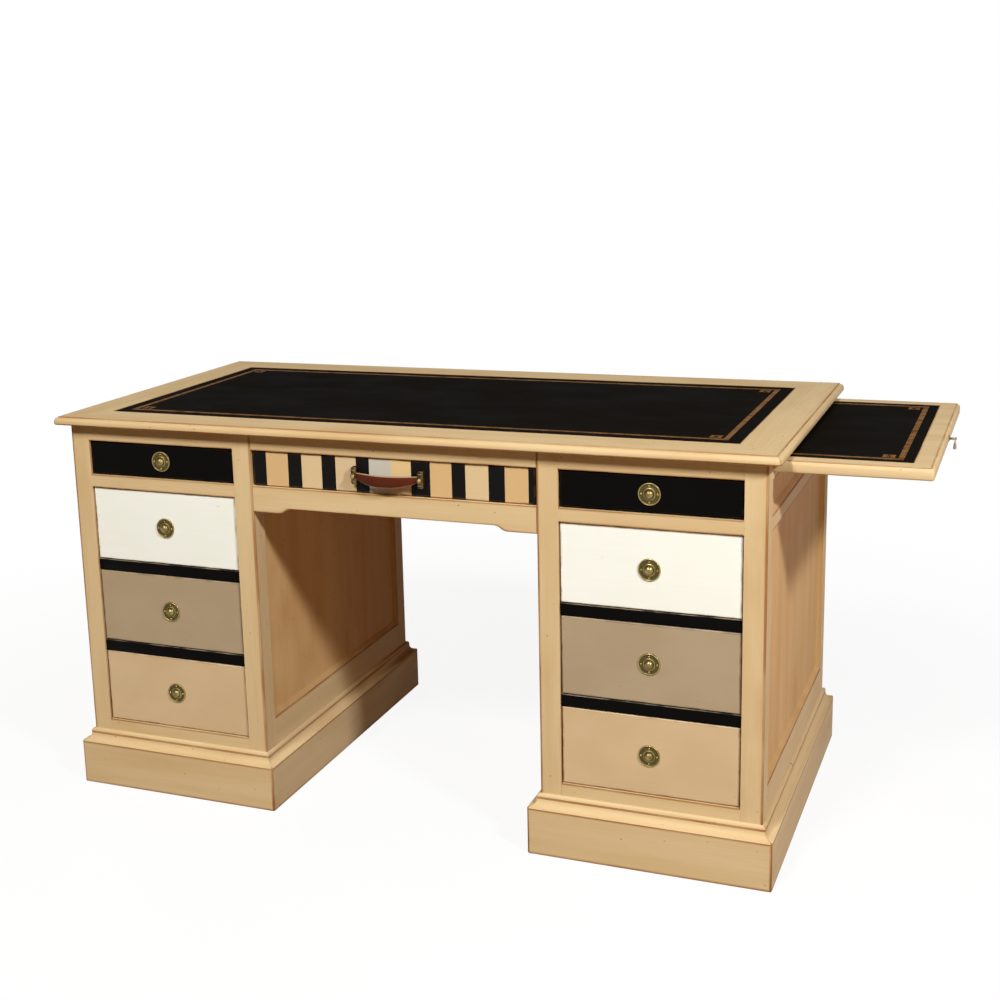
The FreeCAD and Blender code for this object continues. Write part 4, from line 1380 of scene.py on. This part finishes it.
    def build_aprons(self) -> None:
        """Builds the two boards over the kneehole, which step up in an ogee beside each post."""
        run, rise = self.apron_run, self.apron_rise
        bend = (run * run + rise * rise) / (4 * rise)
        turn = math.degrees(math.asin(run / 2 / bend))
        for node in ("front_apron", "back_apron"):
            low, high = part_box(node)
            start = high.x - self.apron_foot
            upper = arc((start - run, low.z + rise - bend), bend, 90, 90 - turn, 6)
            lower = arc((start, low.z + bend), bend, 270 - turn, 270, 6)
            right = upper + lower[1:] + [(high.x, low.z), (high.x, high.z)]
            left = [(-x, z) for x, z in reversed(right)]
            shape = Shape(f"{node}_sawn")
            shape.cut_board(left + right, low.y, high.y)
            shape.piece(WOOD, node)

    def build_runners(self) -> None:
        """Builds the strips that carry the drawers."""
        shape = Shape("drawer_runners_planed")
        low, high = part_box("drawer_runners")
        near, far = self.knee + self.rail, high.x
        reach = self.post - self.rail + self.bearing
        levels = [self.mid_top]
        for word in ("upper", "middle", "lower"):
            levels.append(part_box(f"left_{word}_drawer_front")[0].z - DRAWER_GAP)
        for side in Side:
            strips = [(near, near + reach, level) for level in levels]
            strips += [(far - reach, far, level) for level in levels]
            strips.append((self.knee - self.bearing, self.knee, levels[0]))
            for first, second, level in strips:
                x0, x1 = sorted((side.value * first, side.value * second))
                shape.board((x0, low.y, level - self.runner_high), (x1, high.y, level), Axis.Y)
        shape.piece(BARE_WOOD, "drawer_runners")

    def build_guides(self) -> None:
        """Builds the strips that the leaves slide on."""
        low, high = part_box("leaf_guides")
        shape = Shape("leaf_guides_planed")
        for side in Side:
            x0, x1 = sorted((side.value * (self.knee + self.rail), side.value * high.x))
            for y in (low.y, high.y - self.guide):
                shape.board((x0, y, low.z), (x1, y + self.guide, high.z), Axis.X)
        shape.piece(BARE_WOOD, "leaf_guides")


@dataclass
class Drawer:
    """A drawer's painted front and its box."""

    name: str
    finish: SatinPaint
    side_gap: float = 0.7 * MM
    ease: float = 1.6 * MM
    back_ease: float = 0.3 * MM
    corner: float = 1.0 * MM
    board: float = 12 * MM
    bottom: float = 6 * MM
    bottom_lift: float = 8 * MM

    def build(self) -> None:
        """Builds and dresses the front and the box."""
        self.build_front()
        self.build_box()

    def build_front(self) -> None:
        """Builds the front, with its stripes if its paint has them."""
        node = f"{self.name}_front"
        low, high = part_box(node)
        low.x += self.side_gap
        high.x -= self.side_gap
        thick = high.y - low.y
        ease, bend = self.ease, self.ease * EASE_BEND
        rings = [(ease, 0.0), (bend, bend), (0.0, ease)]
        rings += [(0.0, thick - self.back_ease), (self.back_ease, thick)]
        shape = Shape(f"{node}_painted")
        shape.slab(low, high, Axis.Y, Axis.X, rings, self.corner)
        made = shape.piece(self.finish, node)
        if self.finish.stripes:
            width = high.x - low.x
            places = [(point.x - low.x) / width for point in shape.points]
            stored = made.data.attributes.new("stripe", "FLOAT", "POINT")
            stored.data.foreach_set("value", places)

    def build_box(self) -> None:
        """Builds the sides, back and bottom."""
        node = f"{self.name}_box"
        low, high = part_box(node)
        shape = Shape(f"{node}_joined")
        left, right = low.x + self.board, high.x - self.board
        bottom = low.z + self.bottom_lift
        floor = bottom + self.bottom
        shape.board((low.x, low.y, low.z), (left, high.y, high.z), Axis.Y)
        shape.board((right, low.y, low.z), (high.x, high.y, high.z), Axis.Y)
        shape.board((left, low.y, bottom), (right, high.y, floor), Axis.X)
        shape.board((left, high.y - self.board, floor), (right, high.y, high.z), Axis.X)
        shape.piece(BARE_WOOD, node)


@dataclass
class Knob:
    """A low domed brass knob on a beaded rosette with four bosses."""

    node: str
    rosette: float = 20.3 * MM
    rim: float = 1.3 * MM
    rim_lift: float = 1.1 * MM
    dome: float = 8.4 * MM
    dome_foot: float = 4.0 * MM
    boss_ring: float = 14.6 * MM
    boss: float = 2.3 * MM
    boss_foot: float = 1.0 * MM
    boss_lift: float = 0.4 * MM
    # The rosette's hollow and the collar round the knob, in mm from the axis and up
    hollow: tuple[Point, ...] = ((17.1, 1.2), (14.3, 1.3), (11.6, 1.9), (10.6, 2.8), (9.6, 3.2), (8.9, 3.1))

    def build(self) -> None:
        """Builds and dresses the knob and its rosette as one casting."""
        low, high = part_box(self.node)
        foot = Vector(((low.x + high.x) / 2, high.y, (low.z + high.z) / 2))
        stand = Matrix.Translation(foot) @ Matrix.Rotation(math.radians(90), 4, "X")
        reach = high.y - low.y
        tall = reach - self.dome_foot
        ball = (self.dome * self.dome + tall * tall) / (2 * tall)
        section = [(0.0, 0.0), (self.rosette, 0.0)]
        section += arc((self.rosette - self.rim, self.rim_lift), self.rim, 0, 160, 7)
        section += from_mm(self.hollow)
        section += arc((0.0, reach - ball), ball, math.degrees(math.acos(self.dome / ball)), 84, 8)
        section += [(0.0, reach)]
        shape = Shape(f"{self.node}_cast")
        shape.lathe(section, steps=48, place=stand)
        dome = [(0.0, 0.0), (self.boss, 0.0)] + arc((0.0, self.boss_lift), self.boss, 12, 78, 4)
        dome += [(0.0, self.boss_lift + self.boss)]
        for turn in range(4):
            angle = math.radians(90 * turn)
            spot = (self.boss_ring * math.cos(angle), self.boss_ring * math.sin(angle), self.boss_foot)
            shape.lathe(dome, steps=14, place=stand @ Matrix.Translation(spot))
        shape.piece(BRASS, self.node, sharp_deg=40.0)


@dataclass
class StrapHandle:
    """The leather strap handle of the centre drawer, with its bronze brackets and brass rivets."""

    spacing: float = 134 * MM
    plate_width: float = 12 * MM
    plate_thick: float = 12 * MM
    plate_corner: float = 3 * MM
    standoff: float = 10.5 * MM
    lug: float = 5.5 * MM
    bow: float = 14 * MM
    sag: float = 5 * MM
    strap_thick: float = 5 * MM
    strap_high: float = 23 * MM
    strap_gap: float = 1 * MM  # from each lug to the strap's end
    strap_steps: int = 28
    end_high: float = 12 * MM
    end_thick: float = 0.8  # the strap's thickness at its ends, as a share of that in its middle
    swell: float = 2.4  # how late the strap narrows towards its ends
    rivet: float = 4.5 * MM
    rivet_sink: float = 0.3 * MM
    screw_gap: float = 0.6 * MM  # from the plate's sides to the ends of a screw head
    screw_proud: float = 0.2 * MM
    screw_end: float = 6 * MM  # from the plate's upper and lower end
    # A plate's insets and heights from its face, in mm
    plate_rings: tuple[Ring, ...] = ((2.6, 0.0), (1.3, 0.4), (0.6, 1.6), (0.5, 7.0), (0.0, 10.0), (0.0, 12.0))
    # Turned sections, in mm from the axis and along it
    neck: tuple[Point, ...] = (
        (0.0, 11.0), (5.5, 11.0), (5.5, 13.0), (4.95, 13.6), (4.95, 15.6), (4.4, 16.0), (0.0, 16.0)
    )
    pin: tuple[Point, ...] = ((0.0, 1.0), (2.4, 1.0), (2.4, 16.0), (0.0, 16.0))
    screw: tuple[Point, ...] = ((0.0, 0.0), (0.9, 0.3), (1.1, 1.0), (1.1, 9.8), (0.0, 10.8))
    # The strap's section: shares of half its thickness outward and of half its height upward
    strap_section: tuple[Point, ...] = (
        (-1.0, -0.86), (-0.6, -1.0), (0.5, -1.0), (0.85, -0.9), (1.1, -0.45), (1.15, 0.0),
        (1.1, 0.45), (0.85, 0.9), (0.5, 1.0), (-0.6, 1.0), (-1.0, 0.86), (-1.0, 0.0),
    )

    def build(self) -> None:
        """Builds and dresses the brackets, the rivets and the strap."""
        low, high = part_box("handle_brackets")
        centre = Vector((0.0, high.y, (low.z + high.z) / 2))
        brackets = Shape("handle_brackets_cast")
        rivets = Shape("handle_rivets_domed")
        dome = [(0.0, -self.rivet_sink), (self.rivet, -self.rivet_sink)]
        dome += arc((0.0, 0.0), self.rivet, 5, 85, 6) + [(0.0, self.rivet)]
        for side in Side:
            middle = centre + Vector((side.value * self.spacing / 2, 0.0, 0.0))
            self.bracket(brackets, middle, (high.z - low.z) / 2, side)
            stand = Matrix.Translation(middle - Vector((0.0, self.standoff + self.lug, 0.0)))
            rivets.lathe(dome, steps=24, place=stand @ Matrix.Rotation(math.radians(90), 4, "X"))
        brackets.piece(BRONZE, "handle_brackets")
        rivets.piece(BRASS, "handle_rivets")
        self.strap(centre - Vector((0.0, self.standoff, 0.0)))

    def bracket(self, shape: Shape, middle: Vector, half: float, side: Side) -> None:
        """Adds a plate with a lug, a pin and two screw heads.

        Args:
            shape: The piece that it goes into.
            middle: Centre of the plate's back.
            half: Half the plate's height.
            side: Which end of the handle it holds.
        """
        wide, thick = self.plate_width / 2, self.plate_thick
        low = middle - Vector((wide, thick, half))
        high = middle + Vector((wide, 0.0, half))
        shape.slab(low, high, Axis.Y, Axis.Z, from_mm(self.plate_rings), self.plate_corner, steps=4)
        stand = Matrix.Translation(middle) @ Matrix.Rotation(math.radians(90), 4, "X")
        shape.lathe(from_mm(self.neck), steps=24, place=stand)
        axle = Matrix.Translation(middle - Vector((0.0, self.standoff, 0.0)))
        axle = axle @ Matrix.Rotation(math.radians(-90 * side.value), 4, "Y")
        shape.lathe(from_mm(self.pin), steps=16, place=axle)
        for sign in (-1, 1):
            start = (self.screw_gap - wide, -thick - self.screw_proud, sign * (half - self.screw_end))
            bar = Matrix.Translation(middle + Vector(start)) @ Matrix.Rotation(math.radians(90), 4, "Y")
            shape.lathe(from_mm(self.screw), steps=12, place=bar)

    def strap(self, centre: Vector) -> None:
        """Builds the strap, bowed out between the two pins.

        Args:
            centre: Middle of the line between the pins.
        """
        half = self.spacing / 2 - self.lug - self.strap_gap
        radius = (half * half + self.bow * self.bow) / (2 * self.bow)
        shape = Shape("handle_strap_stitched")
        shift = shape.board_shift()
        rows = []
        for step in range(self.strap_steps + 1):
            share = 2 * step / self.strap_steps - 1
            x = share * half
            out = math.sqrt(radius * radius - x * x) - (radius - self.bow)
            lean = math.asin(x / radius)
            swell = 1 - abs(share) ** self.swell
            tall = self.end_high + (self.strap_high - self.end_high) * swell
            thick = self.strap_thick * (self.end_thick + (1 - self.end_thick) * swell)
            across = Vector((math.sin(lean), -math.cos(lean), 0.0))
            spot = centre + Vector((x, -out, self.sag * (share * share - 1)))
            ring = [
                spot + across * (outward * thick / 2) + Vector((0.0, 0.0, up * tall / 2))
                for outward, up in self.strap_section
            ]
            rows.append(shape.add_points(ring, Axis.X, shift))
        nowhere = Vector((BEYOND, BEYOND, BEYOND))
        distances = [(1 - abs(up)) * self.strap_high / 2 for _, up in self.strap_section]
        for first, second in zip(rows, rows[1:]):
            for index in range(len(first)):
                ends = quad(distances, distances, index)
                marks = [(Vector((BEYOND, away, BEYOND)), nowhere) for away in ends]
                shape.add_face(quad(first, second, index), marks)
        cut = 1.0 * MM  # the cut ends count as this near an edge, so they show as pale as one
        shape.add_plain(rows[0][::-1], cut)
        shape.add_plain(rows[-1], cut)
        made = shape.piece(OXBLOOD_HIDE, "handle_strap", sharp_deg=60.0)


@dataclass
class DropPull:
    """The brass pull of a leaf: a forked post, and a drop that hangs on its pin."""

    side: Side
    fork_start: float = 6 * MM
    fork_end: float = 13.8 * MM
    fork_gap: float = 1.3 * MM  # half the space between the cheeks
    fork_side: float = 2.9 * MM
    fork_half: float = 2.2 * MM
    fork_ease: float = 0.5 * MM
    bridge_end: float = 8 * MM
    bridge_side: float = 1.6 * MM
    bridge_half: float = 2 * MM
    bridge_ease: float = 0.3 * MM
    pin_out: float = 11.2 * MM
    pin_long: float = 6.6 * MM
    pin_radius: float = 1.1 * MM
    pin_tip: float = 0.4 * MM
    drop_long: float = 20 * MM
    drop_tip: float = 3 * MM
    eye_bore: float = 1.15 * MM
    eye_radius: float = 2.6 * MM
    eye_width: float = 2 * MM
    eye_ease: float = 0.3 * MM
    eye_steps: int = 24
    # Turned sections of the post and of the drop above its round tip, in mm from the axis and along it
    post: tuple[Point, ...] = (
        (0.0, 0.0), (6.0, 0.0), (6.0, 0.8), (5.0, 1.6), (3.0, 2.0),
        (2.2, 3.0), (1.8, 5.0), (2.2, 6.8), (2.2, 7.4), (0.0, 7.4),
    )
    drop: tuple[Point, ...] = (
        (2.7, 7.0), (2.3, 10.0), (2.0, 12.4), (1.9, 13.4), (1.2, 14.4), (0.9, 15.4), (0.9, 18.2), (0.0, 18.4)
    )

    def build(self) -> None:
        """Builds and dresses the post and the drop."""
        node = f"{self.side.word}_leaf_pull"
        low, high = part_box(f"{node}_post")
        foot_x = low.x if self.side is Side.RIGHT else high.x
        foot = Vector((foot_x, (low.y + high.y) / 2, (low.z + high.z) / 2))
        pin = foot + Vector((self.side.value * self.pin_out, 0.0, 0.0))
        self.build_post(f"{node}_post", foot, pin)
        self.build_drop(f"{node}_drop", pin)

    def build_post(self, node: str, foot: Vector, pin: Vector) -> None:
        """Builds the turned foot, the fork and the pin through it.

        Args:
            node: Its CAD node.
            foot: Middle of its foot, on the leaf's edge.
            pin: Middle of its pin.
        """
        shape = Shape(f"{node}_turned")
        stand = Matrix.Translation(foot) @ Matrix.Rotation(math.radians(90 * self.side.value), 4, "Y")
        shape.lathe(from_mm(self.post), steps=24, place=stand)
        for end, y0, y1, half, ease in (
            (self.fork_end, -self.fork_side, -self.fork_gap, self.fork_half, self.fork_ease),
            (self.fork_end, self.fork_gap, self.fork_side, self.fork_half, self.fork_ease),
            (self.bridge_end, -self.bridge_side, self.bridge_side, self.bridge_half, self.bridge_ease),
        ):
            x0, x1 = sorted(foot.x + self.side.value * out for out in (self.fork_start, end))
            corners = (x0, foot.y + y0, foot.z - half), (x1, foot.y + y1, foot.z + half)
            shape.board(*corners, Axis.X, ease)
        radius, tip, length = self.pin_radius, self.pin_tip, self.pin_long
        section = [(0.0, 0.0), (radius, tip), (radius, length - tip), (0.0, length)]
        shape.lathe(section, steps=14, place=self.across(pin, length))
        shape.piece(DULL_BRASS, node)

    def build_drop(self, node: str, pin: Vector) -> None:
        """Builds the drop and the eye that it hangs by.

        Args:
            node: Its CAD node.
            pin: Middle of the pin that it hangs on.
        """
        shape = Shape(f"{node}_turned")
        section = [(0.0, 0.0)] + arc((0.0, self.drop_tip), self.drop_tip, -80, 20, 6) + from_mm(self.drop)
        shape.lathe(section, steps=20, place=Matrix.Translation(pin - Vector((0.0, 0.0, self.drop_long))))
        self.eye(shape, self.across(pin, self.eye_width))
        shape.piece(DULL_BRASS, node)

    def across(self, pin: Vector, length: float) -> Matrix:
        """Where a part that is centred on the pin stands.

        Args:
            pin: Middle of the pin.
            length: The part's length along the pin.

        Returns:
            The matrix that puts the part's foot there and turns its +Z to +Y.
        """
        foot = Matrix.Translation(pin - Vector((0.0, length / 2, 0.0)))
        return foot @ Matrix.Rotation(math.radians(-90), 4, "X")

    def eye(self, shape: Shape, place: Matrix) -> None:
        """Adds the ring at the top of the drop.

        Args:
            shape: The piece that it goes into.
            place: Puts the ring, which stands along +Z, where it belongs.
        """
        bore, radius, ease, width = self.eye_bore, self.eye_radius, self.eye_ease, self.eye_width
        section = [(bore, 0.0), (radius - ease, 0.0), (radius, ease)]
        section += [(radius, width - ease), (radius - ease, width), (bore, width)]
        shift = shape.board_shift()
        rows = []
        for step in range(self.eye_steps):
            turn = 2 * math.pi * step / self.eye_steps
            spots = [place @ Vector((r * math.cos(turn), r * math.sin(turn), z)) for r, z in section]
            rows.append(shape.add_points(spots, Axis.X, shift))
        for here, there in zip(rows, rows[1:] + rows[:1]):
            for index in range(len(section)):
                after = (index + 1) % len(section)
                shape.add_plain([here[index], there[index], there[after], here[after]])


@dataclass
class Leaf:
    """A sliding side leaf with its leather and its drop pull."""

    side: Side
    border: float = 36 * MM
    leather_thick: float = 1.2 * MM
    corner: float = 6 * MM
    border_gap: float = 18 * MM
    step: Ring = (4.8 * MM, 0.3 * MM)  # inward from the box and down from the upper face
    shoulder: float = 5.2 * MM
    # The moulded edge below that step: insets and heights, in mm
    edge: tuple[Ring, ...] = (
        (3.0, 0.0), (0.9, 0.9), (0.0, 3.0), (0.0, 14.0), (0.8, 16.8), (2.8, 18.8), (4.6, 19.4)
    )

    def build(self) -> None:
        """Builds and dresses the board, the leather and the pull."""
        node = f"{self.side.word}_leaf"
        low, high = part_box(node)
        thick = high.z - low.z
        rings = from_mm(self.edge)
        rings += [(self.step[0], thick - self.step[1]), (self.shoulder, thick)]
        rings += [(self.border, thick), (self.border, thick - self.leather_thick)]
        shape = Shape(f"{node}_moulded")
        # Glaze settles in the step under the border and on the border alone.
        pale = (0, 1, 2, 3, 4, 5, 7)
        shape.slab(low, high, Axis.Z, Axis.X, rings, self.corner, steps=5, pale=pale)
        shape.piece(WOOD, node)
        Leather(f"{node}_leather", f"{node}_moulded", self.border_gap).build()
        DropPull(self.side).build()


# Stripes of the centre drawer: X of each stripe's left edge in mm, and its paint
INK, TAN, PALE, GREIGE, GREY, STRAW = "131110", "D8B480", "DCC294", "D9BF96", "C9C2B2", "E3C48E"
STRIPES = (
    (-282.9, INK), (-256.8, TAN), (-211.7, INK), (-181.9, PALE), (-139.7, INK), (-110.4, GREIGE),
    (-69.1, INK), (-40.4, GREY), (2.3, STRAW), (42.4, INK), (82.1, TAN), (123.4, INK),
    (151.6, PALE), (194.9, INK), (225.4, TAN), (270.6, INK),
)


def striped_paint() -> SatinPaint:
    """The paint of the centre drawer, whose stripes are placed along its front.

    Returns:
        The paint.
    """
    low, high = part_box("centre_drawer_front")
    stops = tuple((max(0.0, (edge * MM - low.x) / (high.x - low.x)), paint) for edge, paint in STRIPES)
    return SatinPaint("striped_satin_paint_brushed", TAN, "C7A473", "6A4A2C", 0.5, 0.35, 0.42, 0.06, stops)


@dataclass(frozen=True)
class Lamp:
    """A square soft light."""

    name: str
    place: Place
    target: Place
    size: float
    watts: float
    tint: str
    is_reflected: bool = True

    def build(self) -> None:
        """Adds the light and points it at its target."""
        data = bpy.data.lights.new(self.name, "AREA")
        data.size = self.size
        data.energy = self.watts
        data.color = linear(self.tint)[:3]
        light = bpy.data.objects.new(self.name, data)
        light.location = self.place
        light.rotation_mode = "QUATERNION"
        light.rotation_quaternion = (Vector(self.target) - Vector(self.place)).to_track_quat("-Z", "Y")
        light.visible_glossy = self.is_reflected
        bpy.context.scene.collection.objects.link(light)


# A broad key in front, a harder side light at the right, two weak fills and a light from behind
LAMPS = (
    Lamp("key", (-0.5, -4.6, 4.75), (0.0, -0.2, 0.45), 1.0, 274.0, "FFFDF8"),
    Lamp("side", (3.14, -2.18, 3.04), (0.0, -0.2, 0.45), 0.4, 128.0, "F2F7FF"),
    Lamp("low_fill", (1.95, -1.42, 0.75), (0.0, -0.1, 0.45), 0.35, 2.8, "FFDCB8", False),
    Lamp("end_fill", (2.1, 0.1, 0.6), (0.7, 0.0, 0.45), 0.5, 2.4, "FFE6CC", False),
    Lamp("back", (-3.0, 2.5, 1.2), (0.0, 0.1, 0.45), 1.2, 46.0, "FFF6EA", False),
)


@dataclass
class Studio:
    """The floor, the light and the camera."""

    focal_px: float = 1503.2
    centre_px: Point = (440.5, 455.2)
    frame_px: float = 1000.0
    sensor_mm: float = 36.0
    sight: float = 100.0
    place: Place = (1.1291, -2.7898, 1.3249)
    yaw_deg: float = -22.708
    pitch_deg: float = -12.373
    roll_deg: float = -1.701
    floor_half: float = 30.0
    floor_flecks: tuple[str, str] = ("F8F8F7", "FCFCFB")
    floor_bounce: str = "816C59"  # what the floor lends to the light that it throws back
    glow_reach: Point = (0.9, 2.4)  # the distances between which the floor turns white
    glow_near: float = 0.9
    backdrop_top: float = 0.11  # how far a direction may rise and still meet white in a reflection
    backdrop_fade: float = 0.06
    backdrop_above: float = 0.06  # the strength above that
    ambient: str = "FFB586"
    ambient_strength: float = 0.05

    def build(self) -> None:
        """Sets up everything round the desk."""
        self.build_camera()
        self.build_floor()
        for lamp in LAMPS:
            lamp.build()
        self.build_backdrop()
        bpy.context.scene.view_settings.view_transform = "Standard"

    def build_camera(self) -> None:
        """Places the camera where the photograph was taken from."""
        yaw, pitch, roll = (math.radians(value) for value in (self.yaw_deg, self.pitch_deg, self.roll_deg))
        ahead = Vector((math.sin(yaw) * math.cos(pitch), math.cos(yaw) * math.cos(pitch), math.sin(pitch)))
        level = Vector((math.cos(yaw), -math.sin(yaw), 0.0))
        up = level.cross(ahead)
        right = level * math.cos(roll) + up * math.sin(roll)
        above = up * math.cos(roll) - level * math.sin(roll)
        data = bpy.data.cameras.new("camera")
        data.sensor_width = self.sensor_mm
        data.lens = self.focal_px * self.sensor_mm / self.frame_px
        data.shift_x = (self.frame_px / 2 - self.centre_px[0]) / self.frame_px
        data.shift_y = (self.centre_px[1] - self.frame_px / 2) / self.frame_px
        data.clip_end = self.sight
        camera = bpy.data.objects.new("camera", data)
        turn = Matrix((right, above, -ahead)).transposed().to_4x4()
        camera.matrix_world = Matrix.Translation(self.place) @ turn
        bpy.context.scene.collection.objects.link(camera)
        bpy.context.scene.camera = camera

    def build_floor(self) -> None:
        """Lays a white floor that stays white to the camera but for the desk's soft shadow."""
        half = self.floor_half
        mesh = bpy.data.meshes.new("floor")
        corners = [(-half, -half, 0), (half, -half, 0), (half, half, 0), (-half, half, 0)]
        mesh.from_pydata(corners, [], [(0, 1, 2, 3)])
        floor = bpy.data.objects.new("floor", mesh)
        bpy.context.scene.collection.objects.link(floor)
        made, tree = start_material("floor_white_card")
        spot = add_node(tree, "NewGeometry").outputs["Position"]
        # The card's own fibres are too fine to show, so its flecks are drawn 0.3 m wide.
        fleck = add_node(tree, "TexNoise", {"Vector": spot, "Scale": 3.0})
        first, second = self.floor_flecks
        tone = tinted(tree, linear(first), second, fleck, (0.3, 0.7), (0.0, 1.0))
        seen = self.shown(tree)
        tone = add_node(tree, "Mix", {0: seen, 6: linear(self.floor_bounce), 7: tone}, **RGBA)
        card = add_node(tree, "BsdfDiffuse", {"Color": tone})
        glow = add_node(tree, "Emission", {"Color": WHITE, "Strength": 1.0})
        away = add_node(tree, "VectorMath", {0: spot}, operation="LENGTH")
        bright = add_node(tree, "MapRange", (away, *self.glow_reach, self.glow_near, 1.0), **SMOOTH)
        share = add_node(tree, "Math", (seen, bright), operation="MULTIPLY")
        blend = add_node(tree, "MixShader", (share, card, glow))
        add_node(tree, "OutputMaterial", {"Surface": blend})
        mesh.materials.append(made)

    def build_backdrop(self) -> None:
        """Hangs a backdrop that is white to the camera, and in reflections up to eye level."""
        world = bpy.data.worlds.new("studio")
        bpy.context.scene.world = world
        world.use_nodes = True
        tree = world.node_tree
        tree.nodes.clear()
        way = add_node(tree, "TexCoord").outputs["Generated"]
        height = add_node(tree, "SeparateXYZ", {"Vector": way}).outputs["Z"]
        straight = add_node(tree, "LightPath").outputs["Is Camera Ray"]
        fade = (self.backdrop_top, self.backdrop_top + self.backdrop_fade)
        drop = add_node(tree, "MapRange", (height, *fade, 1.0, self.backdrop_above), **SMOOTH)
        drop = add_node(tree, "Math", (drop, straight), operation="MAXIMUM")
        dim = add_node(tree, "Background", {"Color": linear(self.ambient), "Strength": self.ambient_strength})
        white = add_node(tree, "Background", {"Color": WHITE, "Strength": drop})
        blend = add_node(tree, "MixShader", (self.shown(tree), dim, white))
        add_node(tree, "OutputWorld", {"Surface": blend})

    def shown(self, tree: Tree) -> Node:
        """Tells what is seen from what only lights the desk.

        Args:
            tree: The node tree.

        Returns:
            1 where it is seen, straight on, in a reflection or through glass, and 0 elsewhere.
        """
        path = add_node(tree, "LightPath").outputs
        seen: Any = path["Is Camera Ray"]
        for name in ("Is Glossy Ray", "Is Transmission Ray"):
            seen = add_node(tree, "Math", (seen, path[name]), operation="MAXIMUM")
        return seen


def main() -> None:
    """Builds the desk piece by piece."""
    logging.basicConfig(level=logging.INFO, format="%(message)s")
    Studio().build()
    Top().build()
    Carcase().build()
    for side in Side:
        for level, paint in PAINTS.items():
            Drawer(f"{side.word}_{level}_drawer", paint).build()
            Knob(f"{side.word}_{level}_knob").build()
        Leaf(side).build()
    Drawer("centre_drawer", striped_paint()).build()
    StrapHandle().build()


if __name__ == "__main__":
    main()
